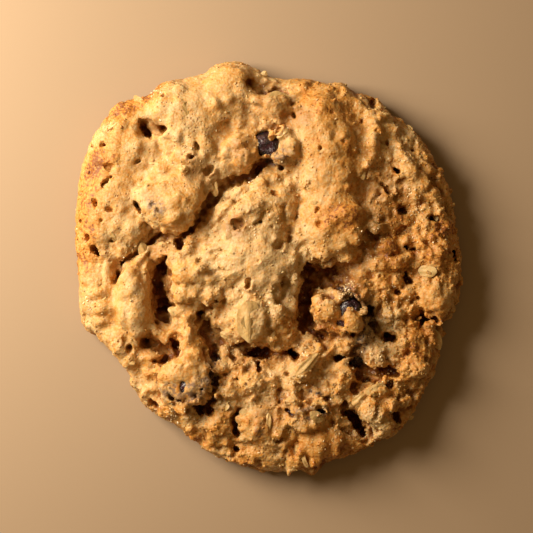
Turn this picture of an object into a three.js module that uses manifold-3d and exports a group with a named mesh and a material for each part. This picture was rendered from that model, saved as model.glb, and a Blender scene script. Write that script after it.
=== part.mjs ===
// An oatmeal raisin cookie: one baked round of dough with a flat underside and a lumpy, cracked top,
// and the raisins that break its surface, each a solid of its own in a pocket of the dough.
// Millimetres, +Z up. The origin is the middle of the underside, on the surface the cookie lies on.
import * as THREE from "three";
import { mergeVertices } from "three/addons/utils/BufferGeometryUtils.js";
import Module from "manifold-3d";

const WIDEST_Z = 2.4; // height at which the edge stands furthest out
const SHELF_Z = 10; // height of the dough between the lumps, in the middle
const SHELF_FALL = 2.4; // how much lower it is near the edge
const LUMP_ROOT = 1.2; // how far under the shelf the sides of a lump start
const UNDERSIDE_REACH = 0.94; // share of the radius that the flat underside covers
const SIDE_STEPS = 3; // bands between the underside and the widest line
const TOP_CELLS = 54; // cells of the top's grid from edge to edge
const EDGE_CROWDING = 0.85; // under 1 the grid's cells narrow towards the edge
const EDGE_FULLNESS = 30; // exponents of the rounded edge: a higher fullness is squarer
const EDGE_ROUNDING = 0.5;
const LUMP_FULLNESS = 2.6; // exponents of a lump's pillow profile
const LUMP_ROUNDING = 0.6;
const LUMP_WAVER = 0.07; // how far a lump's outline wavers, as a share of its half width
const LUMP_FINE_WAVER = 0.05;
const CREVICE_RISE = 4; // how high a crevice's walls stand over its floor at its half width
const CREVICE_STEEPNESS = 4; // exponent of its walls: higher is steeper
const BLEND = 0.5; // how far neighbouring lumps melt into each other
const SWELL_HEIGHT = 0.2; // of the slow waves over the whole top
const RIPPLE_HEIGHT = 0.15; // of the quicker waves across them
const EDGE_STEPS = 12; // stretches of the edge's curve between two of its points
const WELD_DISTANCE = 1e-4;
const POCKET_GAP = 0.35; // clearance between a raisin and its pocket
const RAISIN_FACETS = 2;
const RAISIN_FOLDS = 5;
const FOLD_DEPTH = 0.07; // share of a raisin's half width

// Where the edge runs, seen from above, clockwise from the top of the round: x, y.
const EDGE = [
  [-7, 47.8], [-3, 46.2], [1.5, 43.9], [8, 43.9], [13, 42.9], [16.8, 43.2], [20.7, 40.6], [25.3, 39.2],
  [28, 36], [32, 33.1], [36.1, 29], [39.1, 23.8], [41.4, 19], [43, 13], [44, 6.5], [44.4, 2.9],
  [44.4, -5], [43, -9.3], [40.3, -12.6], [39.9, -19], [38.8, -22.9], [36.4, -27.7], [32.6, -34.3],
  [29.3, -38.4], [23.4, -41], [19.2, -43.1], [14, -44.6], [12.3, -46.6], [10.4, -47.7], [8, -46.6], [0.5, -46.9],
  [-6, -45.5], [-13.5, -42.5], [-20.2, -36.8], [-27.6, -32.5], [-30.3, -29], [-32.4, -24],
  [-38.4, -16.8], [-42.3, -13.8], [-43.8, -6.8], [-43.6, -3.8], [-44.4, 4], [-44.4, 12.8], [-42.8, 24],
  [-39, 32.6], [-34, 38.2], [-27.3, 40.2], [-25, 42.8], [-18.5, 44.1], [-14.9, 44.9], [-12.5, 46.9],
];

// The lumps of the top: middle x and y, half length and half width, turn in degrees, and top height.
const LUMPS = [
  { name: "north-west lump", at: [-18.5, 33.5], half: [9.5, 9.5], turn: 0, top: 12.6 },
  { name: "north-west heel", at: [-17, 25.5], half: [7, 5.5], turn: 10, top: 12.2 },
  { name: "north lump", at: [-8.7, 39.6], half: [8, 7], turn: 0, top: 11.8 },
  { name: "north inner lump", at: [-6.2, 26], half: [6.6, 5.8], turn: 20, top: 12.6 },
  { name: "north flake lump", at: [1, 36.6], half: [5.2, 3.6], turn: -10, top: 12.6 },
  { name: "north-east back", at: [13.5, 27], half: [8.8, 15.5], turn: 12, top: 14 },
  { name: "north-east foot", at: [15, 9.5], half: [9.2, 10], turn: 0, top: 13.6 },
  { name: "north-west edge lump", at: [-33.5, 28.5], half: [8, 8], turn: 30, top: 10.4 },
  { name: "far west lump", at: [-35, 12.5], half: [9, 11], turn: 0, top: 11.2 },
  { name: "west dome", at: [-19.6, 14.2], half: [8, 7.6], turn: -20, top: 13.6 },
  { name: "west edge lump", at: [-38, -5], half: [5.5, 9], turn: 0, top: 9.8 },
  { name: "west ridge", at: [-30, -8.2], half: [5, 10.5], turn: 8, top: 12.8 },
  { name: "inner west lump", at: [-16.2, -2.6], half: [8, 8.4], turn: 0, top: 13.2 },
  { name: "middle brow", at: [-2.5, 12.6], half: [10.5, 5.8], turn: 18, top: 13.6 },
  { name: "middle lump", at: [-3, 1.8], half: [12, 10.5], turn: 0, top: 13.8 },
  { name: "middle tongue", at: [-2.2, -10.6], half: [8, 8], turn: 20, top: 13.6 },
  { name: "ball lump", at: [12.4, -8.8], half: [4, 3.8], turn: 0, top: 12.2 },
  { name: "south-west dome", at: [-18, -25.4], half: [7.4, 6.6], turn: 0, top: 12.4 },
  { name: "stub", at: [-17.8, -15], half: [2.7, 4.2], turn: -15, top: 11.8 },
  { name: "west foot lump", at: [-33, -18.5], half: [5, 5], turn: 0, top: 10.2 },
  { name: "inner foot lump", at: [-24.5, -18.5], half: [3.6, 4.6], turn: 0, top: 10.8 },
  { name: "south-west lump", at: [-9.6, -31.4], half: [6.4, 7], turn: 0, top: 11.2 },
  { name: "south-west edge lump", at: [-19.5, -34], half: [6, 4.4], turn: -35, top: 9.4 },
  { name: "south flake lump", at: [0.2, -35.2], half: [6.6, 6], turn: 10, top: 11.4 },
  { name: "south ridge", at: [8, -23], half: [8, 3.6], turn: 48, top: 12.4 },
  { name: "south inner lump", at: [-2.5, -25], half: [6, 4.4], turn: -25, top: 11.2 },
  { name: "south-east ridge", at: [15.6, -25], half: [3.8, 6], turn: -14, top: 12 },
  { name: "south edge lump", at: [12.4, -37.6], half: [6.6, 6.4], turn: 0, top: 10.4 },
  { name: "south-east lump", at: [24, -32], half: [6.4, 7.6], turn: -10, top: 11.6 },
  { name: "wedge lump", at: [24.4, -20.6], half: [3.8, 3.6], turn: 30, top: 11.6 },
  { name: "south-east edge lump", at: [31.6, -19], half: [5.6, 7.4], turn: 10, top: 11 },
  { name: "raisin cap", at: [18.4, -13.6], half: [4.2, 4.8], turn: 0, top: 11.8 },
  { name: "east dome", at: [37.2, -5.6], half: [5.6, 7], turn: 0, top: 10.6 },
  { name: "middle east lump", at: [21.6, -4.6], half: [4.2, 4.6], turn: 0, top: 11.4 },
  { name: "east shelf lump", at: [28.8, -8.6], half: [4.2, 4.6], turn: 0, top: 11 },
  { name: "inner east lump", at: [27.4, 1.4], half: [5.6, 4.2], turn: 20, top: 11.6 },
  { name: "east lump", at: [36.8, 4.4], half: [4.8, 6], turn: 20, top: 10.8 },
  { name: "valley lump, north", at: [23.4, 25], half: [3.2, 6.4], turn: 6, top: 12.6 },
  { name: "valley lump, south", at: [23.8, 12], half: [3.2, 6], turn: -4, top: 12 },
  { name: "east column", at: [27.4, 14.5], half: [3.6, 9], turn: 8, top: 11.2 },
  { name: "east band", at: [33.4, 18.4], half: [5.2, 12], turn: 24, top: 10.6 },
  { name: "north-east edge lump", at: [24.6, 33], half: [5.8, 5.6], turn: 0, top: 10.6 },
  { name: "north edge lump", at: [15.2, 38.4], half: [6.4, 4.2], turn: -8, top: 9.6 },
];

// The crevices between lumps: the line each follows, half its width, and the height of its floor.
const CREVICES = [
  { name: "long crevice, north", line: [[-1, 23.4], [-5.5, 20.6], [-10, 19], [-14, 14], [-16.6, 9.4]], half: 1.6, floor: 7.2 },
  { name: "long crevice, west", line: [[-16.6, 9.4], [-20, 6.2], [-24.5, 7], [-30, 3.2], [-34.4, 0]], half: 1.6, floor: 7.2 },
  { name: "west crevice", line: [[-24.6, 0.4], [-24.8, -5], [-24, -11.6]], half: 1.9, floor: 4 },
  { name: "middle crevice", line: [[15.6, -0.8], [9.8, -1.6], [8.4, -7], [8.2, -13]], half: 1.7, floor: 5 },
  { name: "tongue crevice", line: [[3, -19], [-3.6, -19], [-10.5, -17.6], [-14, -12.6]], half: 1.6, floor: 5 },
  { name: "foot crevice", line: [[-28, -16.8], [-22.4, -18.8]], half: 1.5, floor: 5.6 },
  { name: "east valley", line: [[23.4, 7], [21.4, 3], [17, -3.4]], half: 1.4, floor: 8.4 },
  { name: "south-east crevice", line: [[19.2, -33], [22.4, -37.6]], half: 1.6, floor: 4.4 },
  { name: "wedge crevice", line: [[20.2, -18.6], [21.4, -23.2], [26.8, -23.2]], half: 1.5, floor: 5 },
  { name: "north niche", line: [[-3.2, 41.8], [4, 40.4]], half: 1.5, floor: 7 },
  { name: "north-west hole", line: [[-27.8, 31.6], [-23.8, 32]], half: 1.5, floor: 5.6 },
];

// The raisins: middle x and y, half length, half width and half thickness, turn in degrees, tilt towards
// the turned length's end in degrees, and how far the middle is sunk below the dough's surface.
const RAISINS = [
  { name: "raisin_north", at: [0.4, 27.6], half: [4.6, 3.1, 2.6], turn: -14, tilt: -8, sunk: 1.5 },
  { name: "raisin_west", at: [-25.2, 14], half: [4.3, 3, 2.4], turn: -40, tilt: 14, sunk: 1.7 },
  { name: "raisin_southwest", at: [-17.4, -25.9], half: [5.4, 4.3, 2.9], turn: 18, tilt: -12, sunk: 2.2 },
  { name: "raisin_east", at: [18, -10.6], half: [4.3, 3.1, 2.5], turn: 78, tilt: 8, sunk: 1.6 },
  { name: "raisin_south", at: [8.2, -32.3], half: [4.6, 3, 2.4], turn: 6, tilt: -6, sunk: 1.7 },
  { name: "raisin_southeast", at: [20.4, -19.8], half: [3.3, 2.5, 2.1], turn: 60, tilt: 0, sunk: 0.9 },
];

const radians = THREE.MathUtils.degToRad;
const edgeCurve = new THREE.CatmullRomCurve3(EDGE.map(([x, y]) => new THREE.Vector3(x, y, 0)), true);
const edgePoints = edgeCurve.getPoints(EDGE.length * EDGE_STEPS);

// How far the edge is from the middle in one direction.
function edgeRadius(angle) {
  const ray = new THREE.Vector2(Math.cos(angle), Math.sin(angle));
  for (let i = 0; i + 1 < edgePoints.length; i += 1) {
    const a = edgePoints[i];
    const b = edgePoints[i + 1];
    const sideA = ray.x * a.y - ray.y * a.x;
    const sideB = ray.x * b.y - ray.y * b.x;
    const share = sideA / (sideA - sideB);
    const hit = new THREE.Vector2().lerpVectors(a, b, share);
    if (sideA * sideB <= 0 && hit.dot(ray) > 0) return hit.length();
  }
  throw new Error("the edge does not go all the way round");
}

// The larger of two heights, with the corner between them melted over BLEND.
function melt(a, b) {
  const share = THREE.MathUtils.clamp(0.5 + (a - b) / (2 * BLEND), 0, 1);
  return THREE.MathUtils.lerp(b, a, share) + BLEND * share * (1 - share);
}

// Height of the dough between the lumps, where reach is the share of the way to the edge.
function shelfHeight(reach) {
  return SHELF_Z - SHELF_FALL * reach ** 4;
}

// A lump's height at a point, or 0 outside it. Its outline wavers so that no two lumps are alike.
function lumpHeight({ at, half, turn, top }, shelf, x, y) {
  const offset = new THREE.Vector2(x - at[0], y - at[1]).rotateAround(new THREE.Vector2(), radians(-turn));
  const bearing = Math.atan2(offset.y / half[1], offset.x / half[0]);
  const broad = LUMP_WAVER * Math.sin(3 * bearing + at[0]);
  const fine = LUMP_FINE_WAVER * Math.sin(5 * bearing + at[1]);
  const reach = Math.hypot(offset.x / half[0], offset.y / half[1]) / (1 + broad + fine);
  if (reach >= 1) return 0;
  const root = shelf - LUMP_ROOT;
  return root + (top - root) * (1 - reach ** LUMP_FULLNESS) ** LUMP_ROUNDING;
}

function distanceToLine(line, x, y) {
  const point = new THREE.Vector3(x, y, 0);
  let nearest = Infinity;
  for (let i = 0; i + 1 < line.length; i += 1) {
    const stretch = new THREE.Line3(new THREE.Vector3(...line[i], 0), new THREE.Vector3(...line[i + 1], 0));
    const foot = stretch.closestPointToPoint(point, true, new THREE.Vector3());
    nearest = Math.min(nearest, foot.distanceTo(point));
  }
  return nearest;
}

// A crevice is a narrow U that only takes dough away, and closes at the top of its walls.
function creviceHeight({ line, half, floor }, x, y) {
  const across = distanceToLine(line, x, y) / half;
  return floor + CREVICE_RISE * across ** CREVICE_STEEPNESS;
}

// Slow unevenness, so that no stretch is smooth.
function unevenness(x, y) {
  const swell = Math.sin(0.9 * x + 0.4 * y) * Math.sin(0.7 * y - 0.3 * x);
  const ripple = Math.sin(1.7 * x - 1.1 * y);
  return SWELL_HEIGHT * swell + RIPPLE_HEIGHT * ripple;
}

function topHeight(x, y) {
  const reach = Math.min(Math.hypot(x, y) / edgeRadius(Math.atan2(y, x)), 1);
  const edge = (1 - reach ** EDGE_FULLNESS) ** EDGE_ROUNDING;
  const shelf = shelfHeight(reach);
  let height = shelf;
  for (const lump of LUMPS) height = melt(height, lumpHeight(lump, shelf, x, y));
  for (const crevice of CREVICES) height = Math.min(height, creviceHeight(crevice, x, y));
  return WIDEST_Z + (height + unevenness(x, y) - WIDEST_Z) * edge;
}

// Where a cell corner of the square grid, each way from -1 to 1, lies on the round: its bearing and its share
// of the radius.
function gridToRound(across, along) {
  const wide = Math.abs(across) > Math.abs(along);
  const [far, near] = wide ? [across, along] : [along, across];
  if (far === 0) return { angle: 0, share: 0 };
  const lean = (Math.PI / 4) * (near / far);
  const angle = (wide ? lean : Math.PI / 2 - lean) + (far < 0 ? Math.PI : 0);
  return { angle, share: Math.sin((Math.PI / 2) * Math.abs(far) ** EDGE_CROWDING) };
}

// The grid's outermost corners in order, anticlockwise, as column and row.
function gridRim() {
  const last = TOP_CELLS;
  const corners = [];
  for (let i = 0; i < last; i += 1) corners.push([i, 0]);
  for (let i = 0; i < last; i += 1) corners.push([last, i]);
  for (let i = last; i > 0; i -= 1) corners.push([i, last]);
  for (let i = last; i > 0; i -= 1) corners.push([0, i]);
  return corners;
}

// The closed skin of the dough: a grid of cells over the top, bands down the side and a flat fan below.
function doughGeometry() {
  const positions = [];
  const faces = [];
  const toShare = (step) => (2 * step) / TOP_CELLS - 1;
  const addPoint = (angle, share, z) => {
    const radius = edgeRadius(angle) * share;
    positions.push(radius * Math.cos(angle), radius * Math.sin(angle), z);
    return positions.length / 3 - 1;
  };
  for (let row = 0; row <= TOP_CELLS; row += 1) {
    for (let column = 0; column <= TOP_CELLS; column += 1) {
      const { angle, share } = gridToRound(toShare(column), toShare(row));
      const corner = addPoint(angle, share, 0);
      positions[3 * corner + 2] = topHeight(positions[3 * corner], positions[3 * corner + 1]);
    }
  }
  const corner = (column, row) => row * (TOP_CELLS + 1) + column;
  for (let row = 0; row < TOP_CELLS; row += 1) {
    for (let column = 0; column < TOP_CELLS; column += 1) {
      const [a, b] = [corner(column, row), corner(column + 1, row)];
      const [c, d] = [corner(column + 1, row + 1), corner(column, row + 1)];
      const slopesRight = (column < TOP_CELLS / 2) === (row < TOP_CELLS / 2);
      faces.push(...(slopesRight ? [a, b, c, a, c, d] : [a, b, d, b, c, d]));
    }
  }
  const rim = gridRim();
  let band = rim.map(([column, row]) => corner(column, row));
  for (let step = 1; step <= SIDE_STEPS; step += 1) {
    const turn = (Math.PI / 2) * (step / SIDE_STEPS);
    const share = UNDERSIDE_REACH + (1 - UNDERSIDE_REACH) * Math.cos(turn);
    const height = step === SIDE_STEPS ? 0 : WIDEST_Z * (1 - Math.sin(turn));
    const lower = rim.map(([column, row]) => {
      const { angle } = gridToRound(toShare(column), toShare(row));
      return addPoint(angle, share, height);
    });
    band.forEach((here, i) => {
      const next = (i + 1) % band.length;
      faces.push(here, lower[i], lower[next], here, lower[next], band[next]);
    });
    band = lower;
  }
  const middle = addPoint(0, 0, 0);
  band.forEach((here, i) => faces.push(here, middle, band[(i + 1) % band.length]));

  const geometry = new THREE.BufferGeometry();
  geometry.setAttribute("position", new THREE.Float32BufferAttribute(positions, 3));
  geometry.setIndex(faces);
  return geometry;
}

// A raisin: an egg of skin with lengthwise folds, grown by a gap for its pocket.
function raisinGeometry({ half, turn }, gap = 0) {
  const geometry = new THREE.IcosahedronGeometry(1, RAISIN_FACETS);
  const position = geometry.getAttribute("position");
  const point = new THREE.Vector3();
  for (let i = 0; i < position.count; i += 1) {
    point.fromBufferAttribute(position, i);
    const bearing = Math.atan2(point.z, point.y);
    const fold = 1 + FOLD_DEPTH * (1 - point.x ** 2) * Math.sin(RAISIN_FOLDS * bearing + turn);
    position.setXYZ(
      i,
      point.x * (half[0] + gap),
      point.y * (half[1] * fold + gap),
      point.z * (half[2] * fold + gap),
    );
  }
  return geometry;
}

// Puts a raisin, or the solid of its pocket, where it lies in the dough.
function placeRaisin(mesh, { at, turn, tilt, sunk }) {
  mesh.position.set(at[0], at[1], topHeight(...at) - sunk);
  mesh.rotation.set(0, radians(-tilt), radians(turn), "ZYX");
  mesh.updateMatrix();
}

const wasm = await Module();
wasm.setup();

function toSolid(geometry) {
  const bare = geometry.clone();
  bare.deleteAttribute("normal");
  bare.deleteAttribute("uv");
  const merged = mergeVertices(bare, WELD_DISTANCE);
  return new wasm.Manifold(
    new wasm.Mesh({
      numProp: 3,
      vertProperties: merged.getAttribute("position").array,
      triVerts: new Uint32Array(merged.index.array),
    }),
  );
}

function toGeometry(solid) {
  const { vertProperties, triVerts } = solid.getMesh();
  const geometry = new THREE.BufferGeometry();
  geometry.setAttribute("position", new THREE.BufferAttribute(vertProperties, 3));
  geometry.setIndex(new THREE.BufferAttribute(triVerts, 1));
  geometry.computeVertexNormals();
  return geometry;
}

function makeDough() {
  let solid = toSolid(doughGeometry());
  for (const raisin of RAISINS) {
    const pocket = new THREE.Mesh(raisinGeometry(raisin, POCKET_GAP));
    placeRaisin(pocket, raisin);
    solid = solid.subtract(toSolid(pocket.geometry.applyMatrix4(pocket.matrix)));
  }
  const crust = new THREE.MeshStandardMaterial({ color: 0xd9a05c, roughness: 0.75, metalness: 0 });
  const mesh = new THREE.Mesh(toGeometry(solid), crust);
  mesh.name = "dough";
  return mesh;
}

function makeRaisin(raisin) {
  const skin = new THREE.MeshStandardMaterial({ color: 0x2a1418, roughness: 0.4, metalness: 0 });
  const mesh = new THREE.Mesh(raisinGeometry(raisin), skin);
  mesh.name = raisin.name;
  placeRaisin(mesh, raisin);
  return mesh;
}

const cookie = new THREE.Group();
cookie.add(makeDough());
for (const raisin of RAISINS) cookie.add(makeRaisin(raisin));

export default cookie;
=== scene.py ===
"""Looks of an oatmeal raisin cookie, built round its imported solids. Metres, +Z up, seen from above."""
import itertools
import math
import random

import bpy
import numpy as np
from mathutils import Euler, Matrix, Vector
from mathutils.kdtree import KDTree


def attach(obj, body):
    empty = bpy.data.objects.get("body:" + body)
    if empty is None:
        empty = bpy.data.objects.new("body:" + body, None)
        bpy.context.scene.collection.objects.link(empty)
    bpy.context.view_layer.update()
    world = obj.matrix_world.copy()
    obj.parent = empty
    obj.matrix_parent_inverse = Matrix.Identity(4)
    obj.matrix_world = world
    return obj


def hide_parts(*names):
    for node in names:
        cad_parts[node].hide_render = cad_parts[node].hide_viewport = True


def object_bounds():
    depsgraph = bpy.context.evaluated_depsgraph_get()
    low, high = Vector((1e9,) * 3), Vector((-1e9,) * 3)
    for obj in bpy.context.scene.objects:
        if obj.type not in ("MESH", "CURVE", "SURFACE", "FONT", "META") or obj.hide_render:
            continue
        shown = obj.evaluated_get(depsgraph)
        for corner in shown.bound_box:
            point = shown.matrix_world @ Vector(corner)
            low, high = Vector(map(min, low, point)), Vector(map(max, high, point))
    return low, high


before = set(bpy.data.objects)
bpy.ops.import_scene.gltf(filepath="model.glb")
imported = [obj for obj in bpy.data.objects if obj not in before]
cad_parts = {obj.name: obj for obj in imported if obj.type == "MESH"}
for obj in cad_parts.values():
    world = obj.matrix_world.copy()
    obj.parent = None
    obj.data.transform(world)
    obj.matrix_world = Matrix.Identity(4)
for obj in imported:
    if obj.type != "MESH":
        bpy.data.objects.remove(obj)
SOLID_LOW, SOLID_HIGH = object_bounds()

MM = 0.001
UP = Vector((0, 0, 1))
RAISINS = sorted(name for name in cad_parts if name.startswith("raisin"))

# ---------------------------------------------------------------- sizes

COARSE_GRAIN = 0.42 * MM  # voxel of the crust's first shaping
FINE_GRAIN = 0.29 * MM  # voxel of the finished crust
CUTTER_GRAIN = 0.20 * MM  # voxel that makes one skin of all the cutter's eggs
CUTTER_FINISH = 0.22 * MM  # voxel of the roughened cutter
DOUGH_TRIANGLES = 196_000  # the most that the crust keeps
PORES = 260
CRUMBS = 2600
OAT_BITS = 45
SUGAR_SCATTER = 260
FLAT_UNDERSIDE = -0.95  # a face whose normal's upright part is below this belongs to the flat underside

# From here on, lengths and heights are in millimetres, and a place is x, y from the middle of the round.

SINK = 1.7  # how much lower the ground between the nuggets lies where the top is broken
PROUD = 1.75  # how many times as far the nuggets stand out where the top is broken
BIT_GAP = 2.6  # between the middles of the smaller bits that fill in between the nuggets
PORE_GAP = 1.5  # between steam holes
OAT_GAP = 4.2  # between broken bits of flake
SUGAR_GAP = 2.4  # between single grains of sugar
GROUND_REACH = 0.3  # what lies lower than this is brought down to the ground
HIGH_ABOVE = 30  # height from which a ray looks down for the dough's top
CREVICE_DEPTH = 3.4  # how far a crevice goes down at most, unless it is one of the deep ones
DEEP_FLOOR = 3.9  # below this height a crevice's floor counts as deep
PIT_DEPTH = 2.1  # how far the deepest part of a pit goes down
CRACK_HALF = 0.36  # half a fine crack's width
CRACK_FLOOR = 8.5  # height that cracks go down to
SLIT_FLOOR = 7.0
OPENING_MIDDLE = 13  # height of the middle of the egg that makes an opening
OPENING_HALF = 4.2  # half that egg's height
COVER_HALF = 4  # half the height of the dough over a raisin
FLAKE_HALF = 0.5  # half a whole flake's thickness
FLAKE_SINK = 1.1  # how far a whole flake's middle lies below what it stands out
FLAKE_BIT_HALF = 0.28  # half a broken bit's thickness
LOOSE_LOWEST = 3.0  # loose bits of flake and single grains lie higher than this

# Half sides of the squares whose mean height a point is compared with, to tell tips, hollows and low ground.
NEAR = 0.9
WIDE = 2.4
WIDEST = 6.0

# Passes over a surface: size of what they make, its depth, the noise's seed, and the share on smooth crust.
FOLDS = (3.6, 1.7, 31, 0.05)
WRINKLES = (1.9, 0.7, 37, 0.1)
WAVES = (1.7, 0.25, 5, 0.3)
BREAKS = (1.2, 0.15, 13, 0.15)
GRIT = (0.6, 0.09, 9, 0.3)
CUTTER_WAVES = (1.3, 0.42, 17, 1.0)
CUTTER_GRIT = (0.6, 0.24, 19, 1.0)

# Nodules that the crust breaks into: gap between their middles, depth, and the share on smooth crust.
NODULES = (0.95, 0.24, 0.1)

# How broken the top is, from 0 to 1: at the least, in the middle of the round, how much more it is at the
# south-east edge, and by what share the smooth stretches lessen it.
LEAST_BROKEN = 0.42
MIDDLE_BROKEN = 0.65
MORE_BROKEN = 0.42
SMOOTHED = 0.68

# In the tables below an oval is its middle, half length, half width and turn in degrees.

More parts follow.
